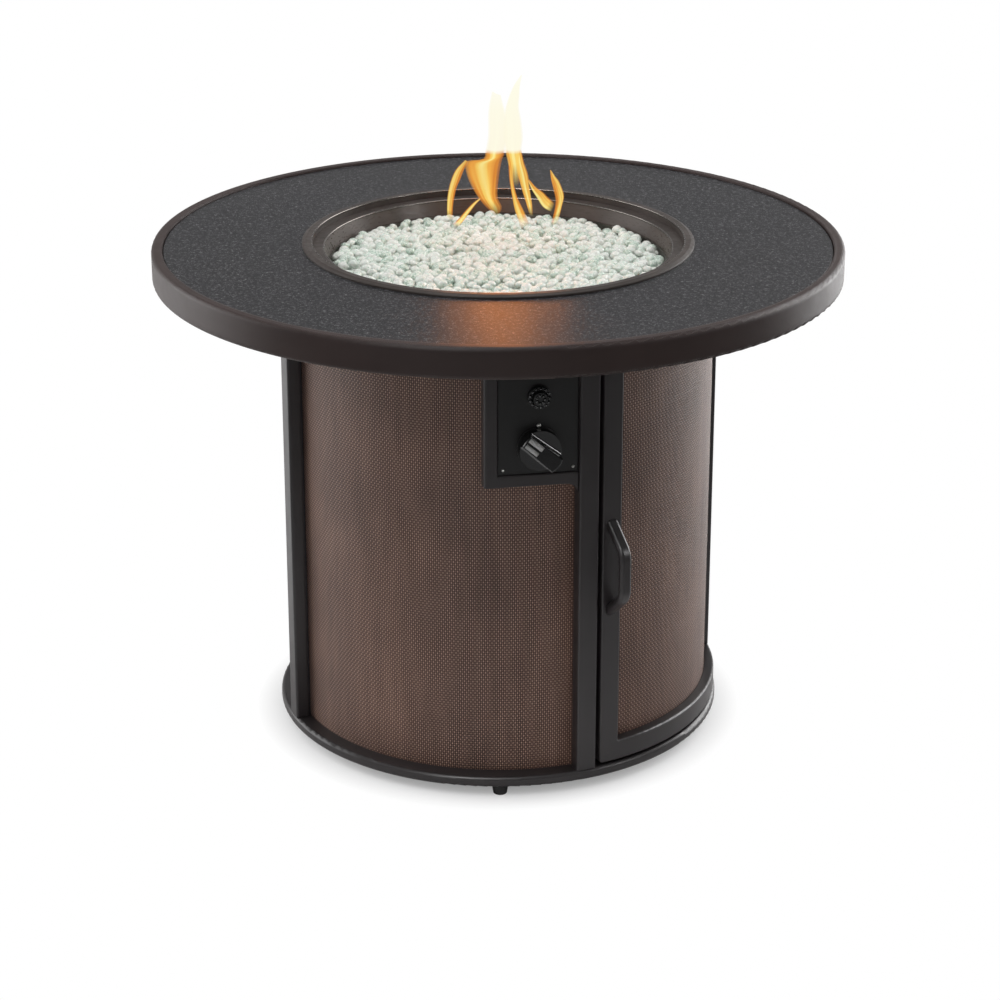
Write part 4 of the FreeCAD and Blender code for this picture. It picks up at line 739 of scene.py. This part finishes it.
def flame_colour(s, place, middle, along, horizon):
    """Yellow and orange strands, cream above the far rim."""
    stretch = s.node("ShaderNodeMapping")
    stretch.inputs["Scale"].default_value = (2.0, 1.0, 1)
    s.link(place, stretch.inputs["Vector"])
    strands = s.node("ShaderNodeTexNoise")
    strands.inputs["Scale"].default_value = 1.3
    strands.inputs["Distortion"].default_value = 0.6
    s.link(stretch.outputs["Vector"], strands.inputs["Vector"])
    tint = s.ramp(s.math("MULTIPLY_ADD", middle, -0.5, strands.outputs["Fac"]), (
        (0.2, linear(214, 132, 56)),
        (0.32, linear(240, 168, 72)),
        (0.44, linear(250, 208, 104)),
        (0.6, linear(255, 238, 152)),
    ))
    cream = s.ramp(along, ((horizon - 0.012, 0.0), (horizon + 0.012, 0.93), (1.0, 1.0)))
    colour = s.node("ShaderNodeMix", data_type="RGBA")
    s.link(cream, colour.inputs["Factor"])
    s.link(tint, colour.inputs["A"])
    colour.inputs["B"].default_value = (*linear(254, 252, 231), 1)
    return colour.outputs["Result"]


def flame_glow(s, colour):
    """The flame's own light: orange and stronger for all but the camera."""
    rays = s.node("ShaderNodeLightPath")
    glow = s.node("ShaderNodeEmission")
    lit = s.math("MULTIPLY_ADD", rays.outputs["Is Diffuse Ray"], FLAME_LIGHT, 1)
    lit = s.math("MULTIPLY_ADD", rays.outputs["Is Glossy Ray"], FLAME_SHINE, lit)
    s.link(lit, glow.inputs["Strength"])
    warm = s.node("ShaderNodeMix", data_type="RGBA")
    s.link(rays.outputs["Is Camera Ray"], warm.inputs["Factor"])
    warm.inputs["A"].default_value = (*linear(255, 150, 68), 1)
    s.link(colour, warm.inputs["B"])
    s.link(warm.outputs["Result"], glow.inputs["Color"])
    return glow.outputs["Emission"]


def flame_material(horizon):
    """A glowing sheet, thin at the foot and the edges. The UV map "flame" has the place
    across the tongue and the height, and "length" has the share of the way to the tip."""
    s = Shader("flame", (1, 1, 1), 0.5)
    s.tree.nodes.remove(s.surface)
    place = s.node("ShaderNodeTexCoord").outputs["UV"]
    split = s.node("ShaderNodeSeparateXYZ")
    s.link(place, split.inputs[0])
    across = s.math("FRACT", split.outputs["X"])
    middle = s.math("ABSOLUTE", s.math("SUBTRACT", across, 0.5))
    colour = flame_colour(s, place, middle, split.outputs["Y"], horizon)
    body = s.ramp(middle, ((0.38, 1.0), (0.5, 0.3)))
    length = s.node("ShaderNodeSeparateXYZ")
    s.link(s.node("ShaderNodeUVMap", uv_map="length").outputs["UV"], length.inputs[0])
    fade = s.ramp(length.outputs["X"], ((0.0, 0.0), (0.16, 0.95), (0.85, 0.9), (1.0, 0.7)))
    clear = s.node("ShaderNodeBsdfTransparent").outputs["BSDF"]
    s.mix(s.math("MULTIPLY", body, fade), clear, flame_glow(s, colour))
    return s.material


def smooth_line(places, count):
    """Points on a Catmull-Rom curve through the places."""
    rows = np.array(places, dtype=float)
    rows = np.vstack((2 * rows[0] - rows[1], rows, 2 * rows[-1] - rows[-2]))
    result = []
    spans = len(rows) - 3
    for index in range(count):
        t = index / (count - 1) * spans
        span = min(int(t), spans - 1)
        t -= span
        a, b, c, d = rows[span:span + 4]
        result.append(0.5 * ((2 * b) + (c - a) * t + (2 * a - 5 * b + 4 * c - d) * t * t
                             + (3 * b - a - 3 * c + d) * t ** 3))
    return result


def flame_shape(left, right):
    """Points and faces of a curved sheet between a tongue's two edges."""
    points = []
    for first, second in zip(smooth_line(left, FLAME_ROWS), smooth_line(right, FLAME_ROWS)):
        start = flame_point(*first)
        reach = flame_point(*second) - start
        for column in range(FLAME_COLUMNS + 1):
            share = column / FLAME_COLUMNS
            bulge = reach.length * FLAME_BULGE * math.sin(math.pi * share)
            points.append(start + reach * share - photo_ray(*first)[2] * bulge)
    width = FLAME_COLUMNS + 1
    faces = [[row * width + column + step for step in (0, 1, width + 1, width)]
             for row in range(FLAME_ROWS - 1) for column in range(FLAME_COLUMNS)]
    return points, faces


def map_flame(sheet, number, foot, top):
    """The two UV maps that flame_material reads."""
    layer = sheet.data.uv_layers.new(name="flame")
    length = sheet.data.uv_layers.new(name="length")
    for loop in sheet.data.loops:
        level = (sheet.data.vertices[loop.vertex_index].co.z - foot) / (top - foot)
        row, column = divmod(loop.vertex_index, FLAME_COLUMNS + 1)
        across = column / FLAME_COLUMNS * FLAME_MAP
        layer.data[loop.index].uv = (number + across, min(1, max(0, level)))
        length.data[loop.index].uv = (row / (FLAME_ROWS - 1), 0)


def make_flames():
    """Flame sheets above the bowl. They aren't part of the object."""
    top = flame_point(*FLAMES[TALLEST][0][-1]).z
    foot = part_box("loose_gems")[1].z
    horizon = (flame_point(CENTRE_PIXEL[0], HORIZON_PIXEL).z - foot) / (top - foot)
    material = flame_material(horizon)
    for number, (left, right) in enumerate(FLAMES):
        sheet = add_mesh("flame_%d" % number, *flame_shape(left, right), material)
        map_flame(sheet, number, foot, top)


def floor_material():
    """Pale floor: a painted shadow under the table's middle, a painted pool of light near the
    table and toward the back that fades further out, and plain white to the camera away from it.
    """
    s = Shader("floor_white", (0.9, 0.9, 0.9), 0.9)
    s.set("Specular IOR Level", 0.1)
    length = s.node("ShaderNodeVectorMath", operation="LENGTH")
    s.link(s.place(), length.inputs[0])
    distance = length.outputs["Value"]
    # Painted pool of light: the floor's colour is lighter near the table and toward the back,
    # darker further out in front.
    near = s.ramp(distance, ((0.2, 0.05), (0.25, 1.0), (0.5, 1.0), (1.0, 0.0)))
    axes = s.node("ShaderNodeSeparateXYZ")
    s.link(s.place(), axes.inputs[0])
    behind = s.ramp(s.math("ADD", axes.outputs["Y"], 0.5), ((0.2, 0.3), (0.9, 0.9)))
    # Painted shadow: the floor's colour is dark under the table's middle.
    under = s.math("LESS_THAN", distance, 0.2)
    level = s.math("SUBTRACT", s.math("MAXIMUM", near, behind), under)
    s.paint(level, ((0.0, 0.0), (0.9, 0.9)))
    far = s.ramp(distance, ((0.2, 0.0), (0.255, 0.35), (0.3, 1.0)))
    rays = s.node("ShaderNodeLightPath")
    seen = s.math("MAXIMUM", rays.outputs["Is Camera Ray"], rays.outputs["Is Transmission Ray"])
    white = s.node("ShaderNodeEmission")
    white.inputs["Strength"].default_value = 1.0
    shown = s.math("MULTIPLY", far, seen)
    s.mix(shown, s.surface.outputs["BSDF"], white.outputs["Emission"])
    return s.material


def make_floor():
    """A wide round floor at the feet's level."""
    made = bmesh.new()
    bmesh.ops.create_circle(made, cap_ends=True, radius=12, segments=96)
    from_bmesh("floor", made, floor_material())


# The world's strength as a light, from the camera's side to the far side
WORLD_NEAR = 0.1
WORLD_FAR = 0.42


def make_world():
    """White as a backdrop. As a light it is dim, dimmest on the camera's side."""
    world = bpy.data.worlds.new("studio")
    bpy.context.scene.world = world
    world.use_nodes = True
    tree = world.node_tree
    ground = tree.nodes["Background"]
    rays = tree.nodes.new("ShaderNodeLightPath")
    seen = tree.nodes.new("ShaderNodeMath")
    seen.operation = "MAXIMUM"
    tree.links.new(rays.outputs["Is Camera Ray"], seen.inputs[0])
    tree.links.new(rays.outputs["Is Transmission Ray"], seen.inputs[1])
    direction = tree.nodes.new("ShaderNodeSeparateXYZ")
    tree.links.new(tree.nodes.new("ShaderNodeTexCoord").outputs["Generated"], direction.inputs[0])
    light = tree.nodes.new("ShaderNodeMapRange")
    light.inputs["From Min"].default_value = -1
    light.inputs["To Min"].default_value = WORLD_NEAR
    light.inputs["To Max"].default_value = WORLD_FAR
    tree.links.new(direction.outputs["Y"], light.inputs["Value"])
    strength = tree.nodes.new("ShaderNodeMapRange")
    strength.inputs["To Max"].default_value = 1.0
    tree.links.new(seen.outputs[0], strength.inputs["Value"])
    tree.links.new(light.outputs["Result"], strength.inputs["To Min"])
    ground.inputs["Color"].default_value = (1, 1, 1, 1)
    tree.links.new(strength.outputs["Result"], ground.inputs["Strength"])


# The points on the table's axis that the lamps look at, and the name, place and power in
# watts of the small glints and of the large lamps at the sides
AIM_HIGH = (0, 0, 0.4)
AIM_SIDE = (0, 0, 0.3)
AIM_LOW = (0, 0, 0.2)
GLINTS = (
    ("glint_left", (-1.6, -2.0, 1.0), 9),
    ("glint_right", (2.1, -1.6, 1.35), 14),
    ("glint_high", (-1.1, -1.9, 2.2), 30),
)
SIDES = (
    ("left", (-2.2, 0.9, 0.9), 45),
    ("right", (2.2, 1.1, 0.9), 68),
)


def add_lamp(name, place, target, size, power):
    """A square soft light that looks at a point, with its side in metres."""
    data = bpy.data.lights.new(name, "AREA")
    data.shape = "SQUARE"
    data.size = size
    data.energy = power
    lamp = add_object(name, data)
    lamp.location = place
    lamp.rotation_mode = "QUATERNION"
    lamp.rotation_quaternion = (Vector(target) - Vector(place)).to_track_quat("-Z", "Y")
    return lamp


def make_lamps():
    """Soft studio light, a light on the floor in front, and glints that only gloss shows."""
    add_lamp("overhead", (0, -0.15, 2.9), AIM_HIGH, 2.4, 40)
    front = add_lamp("front", (-0.4, -2.3, 0.05), AIM_LOW, 1.5, 9)
    front.visible_glossy = False
    floor_lamp = add_lamp("floor_lamp", (-0.3, -0.8, 0.75), (-0.3, -0.8, 0), 0.5, 1.6)
    floor_lamp.data.spread = math.radians(90)
    floor_lamp.visible_camera = False
    for name, place, power in GLINTS:
        add_lamp(name, place, AIM_HIGH, 0.5, power).visible_diffuse = False
    for name, place, power in SIDES:
        add_lamp(name, place, AIM_SIDE, 2.0, power)


def make_camera():
    """The camera at the photograph's angle."""
    data = bpy.data.cameras.new("camera")
    data.sensor_width = SENSOR
    data.lens = FOCAL_PIXELS * SENSOR / IMAGE
    data.shift_x = (IMAGE / 2 - CENTRE_PIXEL[0]) / IMAGE
    data.shift_y = (CENTRE_PIXEL[1] - IMAGE / 2) / IMAGE
    data.clip_end = 60
    camera = add_object("camera", data)
    camera.location = photo_ray(*CENTRE_PIXEL)[0]
    camera.rotation_euler = (math.pi / 2 - CAMERA_TILT, 0, CAMERA_COMPASS)
    bpy.context.scene.camera = camera


make_camera()
make_world()
make_floor()
make_lamps()
bpy.context.scene.view_settings.view_transform = "Standard"

dress_nodes()
make_gems()
make_collar_beads()
make_edge_plate()
make_knob_marks()
make_knurl()
make_plate_screws()
make_flames()
